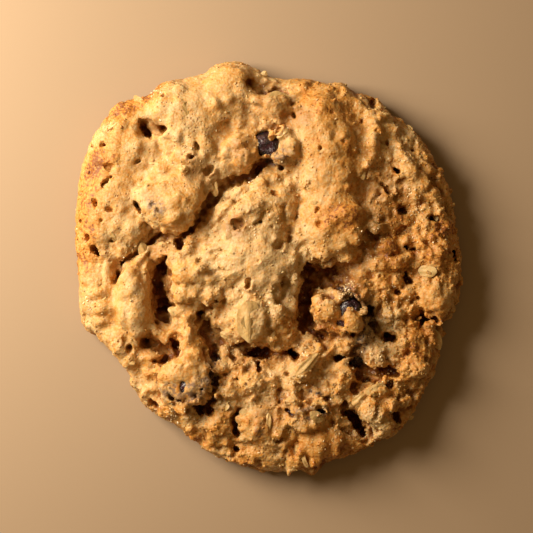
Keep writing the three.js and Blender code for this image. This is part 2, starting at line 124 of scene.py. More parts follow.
# Nuggets of dough that stand out of the top: an oval each, and how far out.
NUGGETS = [
    # north-west
    ((-33, 37), 4, 2.2, 20, 0.5), ((-21, 36.4), 6, 6.4, 0, 0.7), ((-13.6, 36.4), 6.4, 6, 0, 0.7),
    ((-20.4, 41.6), 3, 1.8, 10, 0.5), ((-8.4, 43.4), 5, 3.2, -5, 0.6), ((-9.4, 37.6), 3.6, 3.2, 0, 0.5),
    ((-26.4, 32.8), 0.9, 1.5, 0, 1.0), ((-29.6, 35.6), 2.4, 1.6, 20, 0.5), ((-34.4, 32.2), 2, 1.7, 40, 0.7),
    ((-31.4, 32.6), 1.6, 1.2, 0, 0.7), ((-30.6, 27.2), 3.6, 3.8, 0, 0.7), ((-37.8, 30.4), 2, 2.4, -30, 0.4),
    ((-36.4, 24.4), 2.6, 1.6, 40, 0.5), ((-40, 20), 3.4, 5, 10, 0.4), ((-36, 16.4), 3.4, 3, 0, 0.4),
    ((-40.4, 13), 2, 3.4, 0, 0.5), ((-31.2, 9.4), 4.4, 3.6, -20, 0.8), ((-34.6, 10), 3, 3, 0, 0.5),
    ((-33.2, 3.8), 2.1, 2.2, 0, 0.9), ((-36.6, 3.4), 1.6, 1.8, 0, 0.6), ((-42.4, 2.6), 1.6, 2.2, 0, 0.5),
    ((-40.8, -1.2), 2, 1.4, 0, 0.6), ((-38, 7.4), 2.2, 2, 30, 0.5), ((-42.6, 6.6), 1, 1.6, 10, 0.5),
    ((-33.4, 14), 3, 2.6, 0, 0.4), ((-33.6, 19), 2.6, 2, 30, 0.5), ((-29.4, 20.6), 2.2, 1.8, 20, 0.5),
    ((-21.6, 15), 6.6, 7.4, -15, 0.9), ((-22.6, 23.6), 3.4, 2.6, 0, 0.7), ((-18.8, 22.4), 1.2, 1.1, 0, 0.8),
    ((-17, 28.2), 1.6, 1.8, 20, 0.8), ((-20.2, 29.4), 1.3, 1.9, 0, 0.7), ((-14.2, 27.6), 2.6, 3, 20, 0.9),
    ((-11.6, 29.4), 2.2, 2, 0, 0.7), ((-22.6, 30), 1.4, 1.2, 0, 0.6), ((-12.6, 18.4), 1.3, 2.4, -20, 0.7),
    ((-17.4, 6.8), 1.5, 1.1, 10, 1.2),
    # north
    ((-5.4, 24.8), 2.5, 2.6, 0, 1.1), ((-6.6, 28.4), 3, 2.3, 10, 0.8), ((-9.6, 26.4), 1.6, 2, 0, 0.6),
    ((-7, 32.6), 3, 2.4, 0, 0.6), ((-3.4, 33), 2, 1.8, 0, 0.7), ((2.2, 37.4), 3.8, 2.8, -10, 1.0),
    ((-2.4, 37.6), 1.6, 1.3, 0, 0.8), ((1.5, 42.2), 1.4, 1.1, 0, 1.0), ((-2.2, 43.6), 2, 1.4, 0, 0.7),
    ((8.4, 41), 3.6, 2, -32, 0.9), ((12.4, 37.6), 2.4, 1.8, -40, 0.7), ((17, 40.2), 2.6, 1.8, -20, 0.6),
    ((20.4, 37.4), 2.4, 2, 0, 0.6), ((3.6, 30.4), 1.6, 1.2, 20, 0.9), ((5.4, 27.2), 1.4, 2.2, 0, 0.8),
    ((2.4, 33.6), 2, 1.4, 0, 0.8), ((6.6, 36), 2, 1.6, 20, 0.6),
    # north-east back and foot
    ((12, 33), 4, 5, 10, 0.5), ((13.5, 26), 5, 7, 12, 0.5), ((17, 20), 3.4, 5, 15, 0.5),
    ((17, 12), 5, 3.4, 10, 0.8), ((13, 9), 4, 4, 0, 0.6), ((19.6, 7), 2.6, 3.4, 0, 0.6),
    ((20.8, 22.6), 1.3, 2.6, 20, 0.6), ((10, 18), 3, 4, 0, 0.4), ((8.4, 12), 2.6, 2.4, 0, 0.6),
    ((12.4, 3.4), 3, 2.2, 0, 0.6), ((17.6, 2.6), 2.4, 1.8, 0, 0.7),
    # east
    ((24.5, 33.5), 2, 1.7, 0, 0.9), ((26.5, 34.6), 0.9, 0.9, 0, 1.0), ((28.4, 31.4), 1.8, 1.6, 0, 0.9),
    ((23.5, 28.5), 1.6, 2.1, 0, 0.9), ((26.5, 26.5), 2, 2.2, 0, 1.0), ((29.6, 27.6), 1.6, 1.4, 0, 0.9),
    ((27.5, 21.6), 2, 1.6, 0, 1.0), ((28.5, 18.4), 1.4, 2.8, 0, 1.0), ((26.5, 15.8), 2, 1.4, 0, 1.0),
    ((34.5, 10), 2.4, 2, 0, 1.0), ((33.2, 16.6), 1.6, 2, 0, 0.9), ((31.8, 22.8), 2.4, 4.4, 24, 0.9),
    ((36.4, 22.4), 2, 5.4, 24, 0.8), ((39.4, 14.4), 1.8, 3.6, 10, 0.7), ((23, 4), 1.6, 2, 0, 0.9),
    ((27, 5), 2.6, 2, 10, 1.1), ((38.6, 4.2), 2.9, 2.5, 20, 0.9), ((31, 6), 1.4, 1.8, 0, 0.9),
    ((34.8, 5.6), 1.6, 1.6, 0, 0.9), ((31.4, 10.6), 1.6, 1.6, 0, 0.8), ((24.4, 9.6), 1.4, 2.2, 0, 0.8),
    ((25, 1), 2, 1.4, 20, 0.9), ((29.6, 1.4), 2.2, 1.8, 0, 1.0), ((33.4, 0.8), 1.8, 1.6, 0, 0.9),
    ((41.4, 0), 1.6, 2, 0, 0.7), ((40.4, 8.8), 1.6, 1.8, 0, 0.7), ((37, -0.6), 2, 1.4, 20, 0.8),
    ((29.8, 34), 2, 1.4, -40, 0.6), ((33.4, 29.4), 2, 2.6, 30, 0.6),
    # south-east
    ((13.5, -9.5), 3.2, 3, 0, 1.6), ((13.5, -13), 2.2, 1.8, 0, 0.9), ((18.2, -9.4), 1.1, 1.1, 0, 1.4),
    ((21.8, -9.1), 1.1, 1.1, 0, 1.3), ((19, -12.5), 2.2, 2.2, 0, 1.5), ((20, -16), 3, 1.6, 20, 1.1),
    ((17.5, -18.3), 1.6, 1.2, 0, 0.9), ((21.5, -4.5), 2.6, 3, 0, 1.0), ((26, -5.5), 2.5, 3.3, 0, 1.1),
    ((27.5, -11), 2.5, 2, 0, 1.1), ((29.3, -2.5), 1.2, 1.6, 0, 0.9), ((31.6, -5.6), 1.5, 1.7, 0, 0.9),
    ((32.2, -9), 1.6, 1.5, 0, 0.9), ((31.5, -12.5), 3, 1.9, 0, 1.1), ((31, -16.5), 3.5, 2.4, 0, 1.2),
    ((33.5, -22.5), 3.3, 2.7, 0, 1.1), ((31.5, -29.6), 2, 2.5, 0, 1.0), ((24.6, -20.3), 2.8, 2.6, 30, 1.3),
    ((38, -7), 3.8, 4.4, 0, 0.8), ((37.6, -16), 1.4, 2.8, -25, 0.8), ((8.5, -22), 5, 2.3, 48, 1.2),
    ((7.4, -18.4), 1.6, 1.2, 0, 0.8), ((17, -24.5), 2.4, 4.4, -20, 1.1), ((12.8, -19), 2, 1.6, 10, 0.9),
    ((12.6, -24.6), 2, 1.6, 40, 0.8), ((24.6, -27.6), 3.2, 2.2, 10, 1.0), ((23.6, -32.4), 2.8, 2.6, 0, 1.1),
    ((20.5, -29.5), 2.4, 2.2, 0, 1.0), ((26.4, -36), 3, 2.7, -30, 0.9), ((27.6, -31), 2, 2, 0, 0.9),
    ((29.4, -25), 2.2, 1.8, 0, 0.9), ((28.6, -20.2), 1.8, 1.5, 0, 0.9), ((35.6, -18.6), 1.8, 2.2, 0, 0.8),
    ((34.6, -27.6), 1.8, 2.4, 30, 0.8), ((36.6, -12.6), 1.6, 1.4, 0, 0.8), ((41, -4), 1.6, 2.6, 0, 0.6),
    ((23.4, -15.2), 1.4, 1.6, 0, 0.6), ((24.4, -12), 1.2, 1.2, 0, 0.5), ((28.4, -14), 1.4, 1, 0, 0.8),
    ((17.6, -5.8), 1.8, 1.6, 0, 0.8), ((16.4, -29), 1.8, 2, 0, 0.8), ((10.4, -28.2), 2.6, 1.8, 20, 0.8),
    ((12.8, -31.4), 1.7, 1.6, 0, 0.8), ((5.4, -29.8), 2, 1.6, 0, 0.8), ((9, -35.2), 3, 1.6, 10, 0.7),
    ((15.6, -34.2), 2, 2, 0, 0.8), ((7.2, -42.4), 1.6, 4, -20, 0.9), ((11, -43), 2, 3.4, 10, 0.9),
    ((15.8, -38.8), 1.8, 5, 0, 0.9), ((12, -38.6), 1.8, 3, 0, 0.7), ((19.6, -39.4), 2, 2.8, 30, 0.6),
    ((4, -40), 1.8, 2.4, 0, 0.7), ((22.6, -39.6), 1.6, 1.4, 0, 0.5),
    # middle
    ((-2.5, 3), 7, 6, 0, 0.5), ((4.4, 10.6), 3.4, 2.6, 0, 0.6), ((-3.6, 13.4), 4.4, 3.2, 18, 0.8),
    ((-9, 13.4), 3.6, 2.6, 10, 0.8), ((-6.6, 17.6), 2.8, 1.7, 20, 0.9), ((-1.6, 19), 2.2, 2.6, 0, 0.9),
    ((3.4, 17.6), 3, 2.6, 0, 0.6), ((-12, 4), 4.4, 2.6, 10, 0.7), ((-8.6, -0.4), 3.4, 2.6, 0, 0.6),
    ((4.8, 1.4), 2.6, 2.2, 0, 0.6), ((1.2, -3.2), 3.4, 3, 0, 0.6), ((6, -2.6), 1.6, 2.2, 0, 0.7),
    ((-4, -11.6), 3.7, 5.2, 5, 0.7), ((-11.6, -11.8), 2.8, 3, 0, 1.0), ((-7.8, -6.4), 2.4, 2, 0, 0.8),
    ((2.2, -9.4), 2.2, 2.6, 0, 0.9), ((4.6, -14.8), 1.8, 2.2, 0, 0.9), ((1, -15.6), 2.4, 2, 0, 0.7),
    ((-5.8, -16.2), 2, 1.5, 0, 0.7), ((5.6, -8.4), 1.5, 2, 0, 0.8),
    # west
    ((-18, -1.4), 4.4, 2.8, 0, 0.8), ((-17.6, -6.4), 4.2, 2.2, 0, 1.0), ((-13.2, -6), 2, 1.9, 0, 0.9),
    ((-20.4, -9.8), 2.4, 1.6, 0, 0.9), ((-17, -11), 2.4, 1.2, 0, 0.8), ((-13.4, -2.4), 2.2, 1.8, 0, 0.7),
    ((-20.6, 3.2), 2.6, 1.6, 10, 0.7), ((-23.6, 5.2), 1.6, 1.3, 0, 0.8), ((-27.4, 3), 3.2, 1.6, 15, 0.8),
    ((-42.4, -4), 1.5, 2.6, 0, 0.6), ((-38.4, -5), 2.6, 2, 0, 0.7), ((-37.4, -8.6), 2.2, 2.4, 0, 0.8),
    ((-41.4, -8.6), 1.8, 2, 0, 0.6), ((-40.8, -13), 2, 1.8, -40, 0.6), ((-38, -12), 2.2, 1.8, 0, 0.7),
    ((-35.6, -14.4), 1.6, 1.6, 0, 0.7), ((-38, -16), 2.2, 1.4, -40, 0.5), ((-31.4, -3.6), 3.2, 4.2, 0, 0.8),
    ((-30.6, -10.4), 3.4, 4.6, 5, 0.9), ((-28.8, -14.4), 2.6, 1.6, 20, 0.7),
    # south-west and south
    ((-23.6, -14), 1.9, 1.8, 0, 0.9), ((-25.6, -17), 2.2, 2.2, 0, 0.9), ((-21.4, -14.4), 1.2, 1, 0, 0.8),
    ((-17.8, -15.2), 1.9, 3.2, -8, 1.2), ((-18.4, -18.4), 1.6, 1.7, 0, 0.9),
    ((-18.4, -12.8), 1.5, 1.1, 0, 0.8), ((-12.6, -18.4), 1.3, 1.2, 0, 0.7),
    ((-8.6, -18.6), 1.7, 1.3, 0, 0.8), ((-33.6, -17.4), 2.6, 2.8, 0, 0.7), ((-29.8, -16.4), 1, 1.2, 0, 0.8),
    ((-28.4, -20.2), 3, 2.2, 0, 0.9), ((-32.4, -21.6), 1.9, 2, 0, 0.6), ((-30.6, -25), 2, 2.4, 0, 0.6),
    ((-27, -23.4), 2.4, 2, 0, 0.8), ((-28.4, -28), 1.8, 1.8, 0, 0.6), ((-19.4, -22.6), 5, 3, 5, 0.7),
    ((-22.8, -24.8), 2.6, 3, 0, 0.6), ((-16.4, -19.6), 2, 2.2, 0, 0.9),
    ((-22.4, -32.6), 2.8, 2.2, -20, 0.8), ((-17.8, -33.4), 1.9, 1.9, 0, 0.8),
    ((-24.4, -35), 1.8, 1, -20, 0.4), ((-9.4, -28.8), 3.2, 2.4, 10, 0.9), ((-6.4, -27.4), 2.4, 1.8, 0, 0.8),
    ((-11.4, -35), 3.6, 3.2, 0, 0.9), ((-17.2, -37.6), 2.4, 2.4, -30, 0.6), ((-13, -39.4), 2, 1.3, 0, 0.6),
    ((-12, -41.6), 2.8, 1.3, -20, 0.4), ((-8.6, -38.8), 1.7, 1.6, 0, 0.6), ((-3, -35.6), 4.2, 4.2, 0, 0.8),
    ((-7.8, -43.6), 2.8, 1.2, -15, 0.5), ((-2.8, -42), 2.8, 1.6, 0, 0.6), ((3.4, -35), 2.4, 3, 0, 0.7),
    ((-3.4, -26), 3, 2.6, 0, 1.0), ((-3.6, -20.6), 1.7, 1.2, 0, 0.8), ((-6.6, -22.2), 1.6, 1.2, 0, 0.8),
    ((-10.6, -22.4), 2, 1.5, 0, 0.8), ((1, -24.6), 2, 1.8, 0, 0.8), ((3.4, -22), 1.6, 1.4, 0, 0.8),
    ((0.6, -28.6), 2.2, 1.8, 0, 0.7), ((-3.6, -30.6), 2, 1.4, 20, 0.6),
]

# Dough over the raisins: an oval each, and the height of its top.
COVERS = [
    ((-18, -25.6), 7.2, 6.2, 18, 13.8), ((-24.6, 14.4), 6.4, 5.4, -40, 13.5),
    ((8.4, -32.6), 6, 4.4, 6, 12.6), ((-2.9, 26.2), 0.8, 0.6, 30, 13.0), ((0.5, 29.2), 0.9, 0.5, -30, 13.3),
    ((-0.5, 25.3), 0.8, 0.5, 0, 12.8), ((5.0, 27.4), 3.1, 3.4, 0, 12.8), ((2.2, 30.6), 2.2, 1.1, 10, 13.0),
    ((3, 24.8), 2.8, 1.7, -10, 12.8), ((18.2, -9.4), 1.3, 1.1, 20, 13.3), ((21.6, -9.2), 1.2, 1.2, 0, 12.8),
    ((19.2, -12.8), 2.6, 2.1, 10, 13.3), ((16.4, -6.6), 1.9, 1.3, 20, 12.6),
    ((19.9, -7), 1.3, 0.8, -20, 12.9), ((17.2, -11.2), 0.9, 1.2, 0, 12.9),
    ((20.4, -10.6), 0.9, 0.6, 30, 12.9), ((15.4, -13.4), 1.6, 1.3, 0, 12.2),
]

# Crevices: the line each follows, half its width, and the height of its floor.
CREVICES = [
    ([(-1.2, 23.4), (-4.6, 20.4), (-9, 19.8)], 1.2, 5.0),
    ([(-9.4, 19), (-13, 15), (-15.6, 11.4)], 1.3, 6.0),
    ([(-15.6, 11), (-17.8, 8.2), (-20.6, 6)], 0.65, 6.0), ([(-20.8, 5.5), (-19.2, 5.2)], 1.0, 4.4),
    ([(-24, 7.6), (-25.6, 7), (-27.6, 5), (-31, 2.8)], 0.5, 5.6),
    ([(-31, 3), (-33.4, 1.4), (-33.8, -0.4)], 0.45, 5.6), ([(-34, -0.6), (-35, -2.6)], 0.9, 6.0),
    ([(-24.4, 0.6), (-24.6, -1.4)], 1.6, 2.0), ([(-25.2, -2.6), (-25, -5)], 1.2, 2.4),
    ([(-24.3, -6.4), (-23.8, -9.8)], 1.5, 2.0), ([(-23.6, -0.6), (-22, -1.4)], 0.8, 4.4),
    ([(-23.4, -7.6), (-21.6, -8.4)], 0.8, 4.4), ([(-23.6, -4.4), (-22.6, -5.6)], 0.6, 6.0),
    ([(-25.4, -4.4), (-25, -6.2)], 0.8, 5.6), ([(-23.2, -3.4), (-21.8, -3.2)], 0.5, 6.4),
    ([(-24.6, 1.8), (-23, 2.6)], 0.6, 6.0), ([(8.8, -0.6), (11, -1.8), (15.6, -2)], 2.2, 3.0),
    ([(9, -3), (8.4, -8), (8.6, -13)], 1.5, 3.4), ([(10.6, -14.6), (12.8, -15.8)], 1.1, 4.6),
    ([(-3.8, -19), (0.2, -19.4)], 1.3, 1.6), ([(-2, -21.4), (-2.4, -22.8)], 0.8, 5.0),
    ([(4.8, -18.8), (6.4, -20)], 1.0, 3.4), ([(-14.8, -10.2), (-16.2, -10.6)], 0.9, 4.6),
    ([(-12, -9), (-15.4, -9.4)], 0.5, 7.4), ([(-14.8, -13), (-13.2, -16), (-11.6, -20)], 1.3, 5.0),
    ([(-21.2, -16.4), (-20.8, -19)], 1.1, 4.6), ([(-22, -20), (-24, -20.8)], 0.7, 5.4),
    ([(-26.8, -30), (-25.2, -31.4)], 0.9, 4.6), ([(-16, -31.8), (-13.4, -32.6)], 1.3, 4.4),
    ([(-13.6, -30.4), (-12, -29.4)], 0.8, 5.6), ([(-11.4, -24.2), (-12.4, -28)], 1.1, 6.4),
    ([(-6.4, -32), (-8, -34.2)], 0.7, 5.6), ([(-7.8, -34.8), (-7.2, -37.4)], 0.7, 4.6),
    ([(-8, -40.8), (-6.6, -41)], 0.6, 4.0), ([(18.7, -33), (20.4, -35.4), (22.3, -38)], 1.2, 2.0),
    ([(28.8, -32.6), (29.8, -35.4)], 0.9, 4.6), ([(26.6, -22.8), (29, -23.6)], 1.2, 4.4),
    ([(22.6, -8.4), (23.2, -10)], 1.1, 4.0), ([(23.4, -12), (24.8, -14.6)], 0.9, 6.0),
    ([(26.8, -15), (28, -15.8)], 1.2, 3.8), ([(18.6, -14.6), (19.2, -15)], 0.6, 5.6),
    ([(15, -20.2), (17.4, -20.2)], 0.6, 5.0), ([(34.8, -9.8), (35.2, -12.4)], 0.7, 4.6),
    ([(36.6, -11.4), (38.4, -11.6)], 0.5, 5.0), ([(23.6, 39), (24, 37)], 1.1, 3.8),
    ([(-28.4, 33.2), (-27.8, 31), (-26.4, 30.4)], 1.1, 4.8), ([(-24.6, 32.2), (-23.4, 31.6)], 1.0, 5.6),
    ([(-3.8, 42), (-1, 40.6)], 1.4, 6.4), ([(0.8, 40.6), (4.4, 40.2)], 1.0, 6.0),
    ([(28, 23.2), (30, 21.5)], 0.6, 4.6), ([(26, 19), (26.8, 17.4)], 0.6, 5.0),
    ([(29.4, 13.8), (31, 13.2)], 0.9, 5.4), ([(36.4, 11.3), (38.6, 11.3)], 0.5, 4.6),
    ([(42.2, 4), (42.8, 2)], 0.5, 3.4), ([(31.2, 4.6), (33, 4.2)], 0.6, 5.0),
    ([(31.4, -1.6), (32, -3)], 1.0, 4.4), ([(-39.4, 4.8), (-38.8, 3.2)], 0.9, 5.0),
    ([(14, -3.8), (16.4, -4.4)], 0.9, 6.0), ([(18.8, -7), (20.2, -7.8)], 0.8, 6.0),
    ([(18.6, -21.6), (21, -22.6)], 0.9, 4.6), ([(27.2, -26.4), (28.6, -26)], 0.7, 6.0),
]

# Pits: an oval each.
PITS = [
    ((-13.4, 22.4), 1.4, 1.2, 35), ((-16.7, 25.1), 0.8, 0.4, 20), ((-2.4, 23.4), 1.0, 0.8, 0),
    ((5, 7.2), 0.7, 1.3, -20), ((3, 4.8), 1.5, 1.2, 10), ((11.5, 10.2), 0.5, 0.9, 30),
    ((11, 13), 0.4, 0.9, -40), ((4.2, -4.2), 0.9, 1.8, 15), ((-4.1, -6.2), 0.5, 0.35, 10),
    ((-3.2, -6.7), 0.6, 0.4, 0), ((-12.1, -5.1), 0.5, 0.5, 0), ((-11.8, -7.3), 0.7, 0.6, 0),
    ((-16, -3.3), 1.2, 0.5, 10), ((-8, -20.4), 0.9, 0.5, 10), ((-7.3, -25.1), 1.1, 0.45, -15),
    ((-9, -23.6), 1.4, 0.6, 10), ((6, -19), 0.9, 1.4, 0), ((13.6, -29.2), 1.0, 0.5, -10),
    ((1.2, -29.3), 0.5, 0.4, 0), ((29.6, -29), 0.5, 0.6, 0), ((32.8, -28.5), 0.5, 0.5, 0),
    ((31.8, -2.2), 0.8, 1.2, 0), ((29.3, -4.9), 0.7, 0.7, 0), ((30, -8.4), 0.8, 0.5, 0),
    ((33.9, -6.9), 0.35, 0.35, 0), ((28, -26), 0.6, 0.6, 0), ((-37.2, 27.9), 0.9, 0.7, 20),
    ((7.2, 31.4), 0.45, 0.45, 0), ((14.6, 34.9), 0.9, 0.45, 0), ((15.2, 32.6), 0.35, 0.8, 0),
    ((11.8, 26.7), 0.4, 0.45, 0), ((17, 28.4), 0.35, 0.4, 0), ((2.8, 22.7), 0.5, 0.45, 0),
    ((19, 30.8), 0.4, 0.4, 0), ((7.2, 15.7), 0.45, 0.4, 0), ((1, 16.6), 1.1, 0.8, 0),
    ((33, 27), 0.5, 0.45, 0), ((26.9, 28.6), 0.6, 0.4, 20), ((24.6, 31), 0.5, 0.4, 0),
    ((-35.7, 13.4), 0.9, 0.55, 0), ((-42.6, 10.7), 0.6, 0.5, 0), ((-42.3, 8.8), 0.5, 0.7, 0),
    ((-40.6, 7), 0.55, 1.0, 20), ((-38.7, 1.2), 0.8, 0.4, 0), ((-39.1, 17.7), 0.4, 0.35, 0),
    ((-37.5, 10.8), 0.3, 0.3, 0), ((-41.9, -10.6), 0.6, 0.5, 0), ((-27.8, -16.8), 0.7, 0.8, 20),
    ((-31.3, -18), 0.35, 1.2, -15), ((-25.9, -20.9), 0.8, 0.4, 0), ((-28.9, 24.4), 1.1, 0.45, 10),
    ((-35.6, 22.8), 1.2, 0.6, 20), ((-31.2, -21.7), 0.4, 0.4, 0), ((-29.3, 18.4), 0.5, 0.25, 10),
    ((-34.2, -12.8), 0.4, 0.35, 0), ((-16.8, 5.8), 0.8, 0.5, 0), ((-6.5, 9.6), 1.6, 1.2, 10),
    ((-4.5, -4), 0.6, 1.3, 0), ((2, 31), 1.1, 0.5, 60), ((10.2, -28.6), 0.4, 0.3, 0),
]

# Smooth stretches of crust: an oval each.
SMOOTH = [
    ((-17, 35), 11, 9, 0), ((-9, 41), 7, 5, 0), ((-21, 16), 8, 8, 0), ((-36, 15), 9, 10, 0),
    ((-31, 27), 6, 6, 30), ((-30.6, -8), 4.4, 9, 8), ((13, 28), 7, 13, 12), ((15, 11), 8, 8, 0),
    ((-2, 3), 8, 8, 0), ((-19, -25), 6, 5, 0), ((12, -39), 5, 5, 0), ((-18, -1), 5, 3, 0),
    ((38, -7), 4, 4, 0), ((-4, -11.6), 4, 6, 0), ((-2.6, -35.4), 4.4, 4.4, 0),
]

# Openings in the dough through which a raisin shows: an oval each.
OPENINGS = [
    ((-25.9, 14.5), 0.8, 0.4, -50), ((-24.4, 13), 0.8, 0.3, -60), ((-26.9, 15.6), 0.3, 0.4, 0),
    ((20.6, -20.4), 1.5, 2.0, 20),
]

# Slits where the dough over a raisin has drawn back: the line each follows, and half its width.
SLITS = [
    ([(-12.6, -21.6), (-13, -24.4)], 0.28), ([(-14.6, -26.8), (-16.6, -28.8)], 0.3),
    ([(-18.4, -29.7), (-21, -29.6), (-23, -28.3)], 0.3), ([(-21.6, -27), (-21.9, -28.4)], 0.25),
    ([(4, -31.8), (5.6, -33), (6.4, -34.2)], 0.3), ([(9, -32.6), (10.4, -32), (12.8, -32.4)], 0.3),
]

# Where a raisin's flank shows dark through the thinnest dough: the line each follows, and half its width.
FLANKS = [
    ([(-12, -20.8), (-12.8, -24.3), (-14.9, -27.2), (-17.6, -29.2)], 1.7),
    ([(-17.6, -29.3), (-20.6, -29.3), (-23.2, -28)], 0.8),
    ([(-27, 15.6), (-25.8, 14.4), (-24.2, 12.8)], 0.7), ([(-30, 14.6), (-29, 13.4)], 0.4),
    ([(17, -5), (18.6, -7), (22, -7.6)], 1.6), ([(21.6, -8), (23.2, -11), (22.6, -15), (20.4, -18.4)], 2.0),
    ([(-0.4, 24.6), (3.4, 23.6), (7, 24)], 0.8), ([(2.4, 29.4), (4.4, 26.4)], 0.7),
    ([(6.4, -35.6), (8, -33.6), (12.6, -32.6)], 0.7), ([(9.4, -27.6), (12.2, -28.4)], 0.5),
    ([(-7.6, 9.4), (-6.4, 8)], 0.3),
]

# Thin dough over the raisins, stained by them: an oval each.
FILMS = [
    ((-15.6, -26.4), 4.6, 3, 40), ((-21.4, -27.4), 3.4, 2.2, -20), ((-25, 14), 3, 2.2, -50),
    ((3, 25.4), 2.4, 1.8, 0), ((9.4, -32.4), 5.4, 2, 6), ((18.4, -7), 2.6, 3, 0),
    ((19.6, -21), 2.4, 2.4, 0), ((-2, -36.6), 1.2, 1.8, 0),
]

# Where the crust is browner, or paler: partly the oven's browning, and partly painted light, as on slopes
# facing away from the lamp that are made paler: an oval each, and how much.
BROWNING_AND_PAINTED_LIGHT = [
    ((-13, 36), 5, 6, 0, -0.04), ((-9, 43), 9, 4, -10, 0.06), ((14, 24), 6, 12, 12, 0.14),
    ((16, 11), 6, 4, 10, 0.26), ((35, 8), 10, 28, -5, 0.16), ((30, -20), 12, 14, 30, 0.04),
    ((13, -41), 10, 7, 0, 0.24), ((-22, 23), 4, 3, 0, 0.2), ((-31, 38.6), 9, 4, 35, 0.5),
    ((-29, -10), 3, 6, 8, 0.02), ((-3, 0), 14, 16, 0, -0.18), ((-33, 8), 6, 10, 0, -0.06),
    ((-41.5, 12), 4.6, 17, -8, 0.34), ((-36, 27), 3.4, 8, -35, 0.28), ((4, -27), 14, 6, 20, -0.12),
    ((-12, -42), 14, 4, -20, 0.16), ((31, -16.5), 4, 3, 0, 0.2), ((27, 5), 3, 3, 0, 0.2),
    ((14, 38), 10, 5, -30, 0.2), ((-20, 34), 8, 8, 0, -0.08), ((26, -15), 6, 8, 0, -0.3),
    ((21, -36), 6, 4, 0, -0.24), ((-16, -34), 6, 3, 0, -0.1), ((40, 9), 3, 2.4, 0, 0.35),
    ((-22, -32.8), 4, 2.4, 0, 0.16), ((-11, -35), 4, 4, 0, 0.12), ((-12, 20), 8, 5, -30, -0.14),
]

# Painted shade where the dough lies low and in shadow, which also makes it a little glossier: an oval each,
# and how much.
PAINTED_SHADE_SPOTS = [
    ((24.5, 14), 5, 15, -6, 0.5), ((38.5, 1), 3.4, 7, 0, 0.2), ((13, -14.6), 3.4, 2.6, 0, 1),
    ((18.4, -3.6), 4, 3, 0, 1), ((6, 34), 4.4, 3, 0, 0.6), ((0, 38), 4, 2.6, 0, 0.5),
    ((-14, 21), 6, 3, -30, 0.7), ((-6, 27), 3, 3, 0, 0.6), ((-7, 9.4), 3.6, 3, 0, 0.8),
    ((-24, 3.6), 3.4, 2, 0, 0.4), ((-3, -21), 6, 2.6, 0, 0.5), ((0.6, -33), 4.6, 4, 0, 0.5),
    ((17, -39), 3, 3, 0, 0.4), ((30, 15), 3, 6, 0, 0.5), ((27, 3), 4, 3, 0, 0.4), ((37, -14), 3, 3, 0, 0.3),
    ((-24.4, -5), 2.4, 7.4, 3, 1), ((-26, -17.6), 3.4, 3, 0, 0.6), ((-27, 33), 3, 2.4, 0, 0.4),
    ((-32, 14), 2.4, 3, 0, 0.3),
]

# Fine cracks: the line each follows.
CRACKS = [
    [(-30, 14.8), (-28.8, 13), (-27.3, 10), (-26.6, 8.6)],
    [(-35.4, 6.3), (-33.5, 6.5), (-32, 5.7), (-31, 4)], [(-3, 9.7), (-1.8, 10.6), (-0.8, 9.6)],
    [(-16.3, 28.2), (-15.5, 26.6)], [(-35, 21), (-37.5, 18.4)], [(-39, 15), (-38.7, 13)],
    [(4.2, 40), (5.4, 36.6), (6.2, 33.8)], [(3.6, 32), (-1, 30.6)], [(-18.9, -25), (-19, -27.6)],
]

# Whole oat flakes that lie bare in the top: an oval each, its lean along and across in degrees, and how far
# it stands out of the dough.
OAT_FLAKES = [
    ((-4.2, -11.6), 4.7, 2.9, 93, 0, 6, 1.15), ((-0.4, -34.8), 2.2, 1.2, 78, 5, -10, 1.0),
    ((2.6, 38), 2.6, 1.5, -10, 12, 20, 0.8), ((20.8, 22.6), 2.6, 1.2, 110, 0, 20, 0.8),
    ((26.8, 34.8), 1.2, 0.9, 0, 10, 10, 1.2), ((3.5, 29.8), 1.6, 0.9, 30, 0, 15, 1.1),
    ((41, 15), 1.6, 0.8, 80, 0, 0, 0.8), ((-35.8, 23.4), 2.0, 1.0, 40, 0, 20, 0.6),
    ((-5.8, -30.2), 1.6, 0.7, 60, 0, 30, 0.9), ((25.6, 26.8), 1.8, 1.2, 20, 10, 0, 1.2),
    ((38, -15.6), 2.8, 1.3, -65, 0, 15, 0.9), ((7.4, -42.8), 2.8, 1.1, -65, 0, 25, 1.0),
    ((-34.4, 32.4), 1.8, 1.2, 30, 0, 10, 0.9), ((-12.6, 18.6), 2.3, 1.1, -70, 0, 20, 0.9),
    ((-23.4, 19.6), 2.0, 1.0, 10, 0, 10, 0.95), ((-37.6, -7.8), 1.7, 1.0, 50, 0, 10, 0.9),
    ((-40.2, -11), 1.6, 0.9, -20, 0, 10, 0.6), ((20.6, -29.6), 1.9, 1.3, 40, 0, 10, 1.2),
    ((-3.2, -45.4), 1.6, 0.8, 10, 0, 0, 0.4), ((8.8, -21.8), 3.4, 1.4, 48, 0, 15, 1.35),
    ((-8.6, 38.8), 1.4, 1.1, 0, 0, 0, 0.8), ((24.4, -27.4), 2.4, 1.5, 15, 10, 10, 1.2),
    ((-28.6, 9), 1.8, 1.2, 60, 0, 10, 0.9), ((-18.9, 22.4), 1.1, 0.9, 0, 0, 0, 1.0),
]

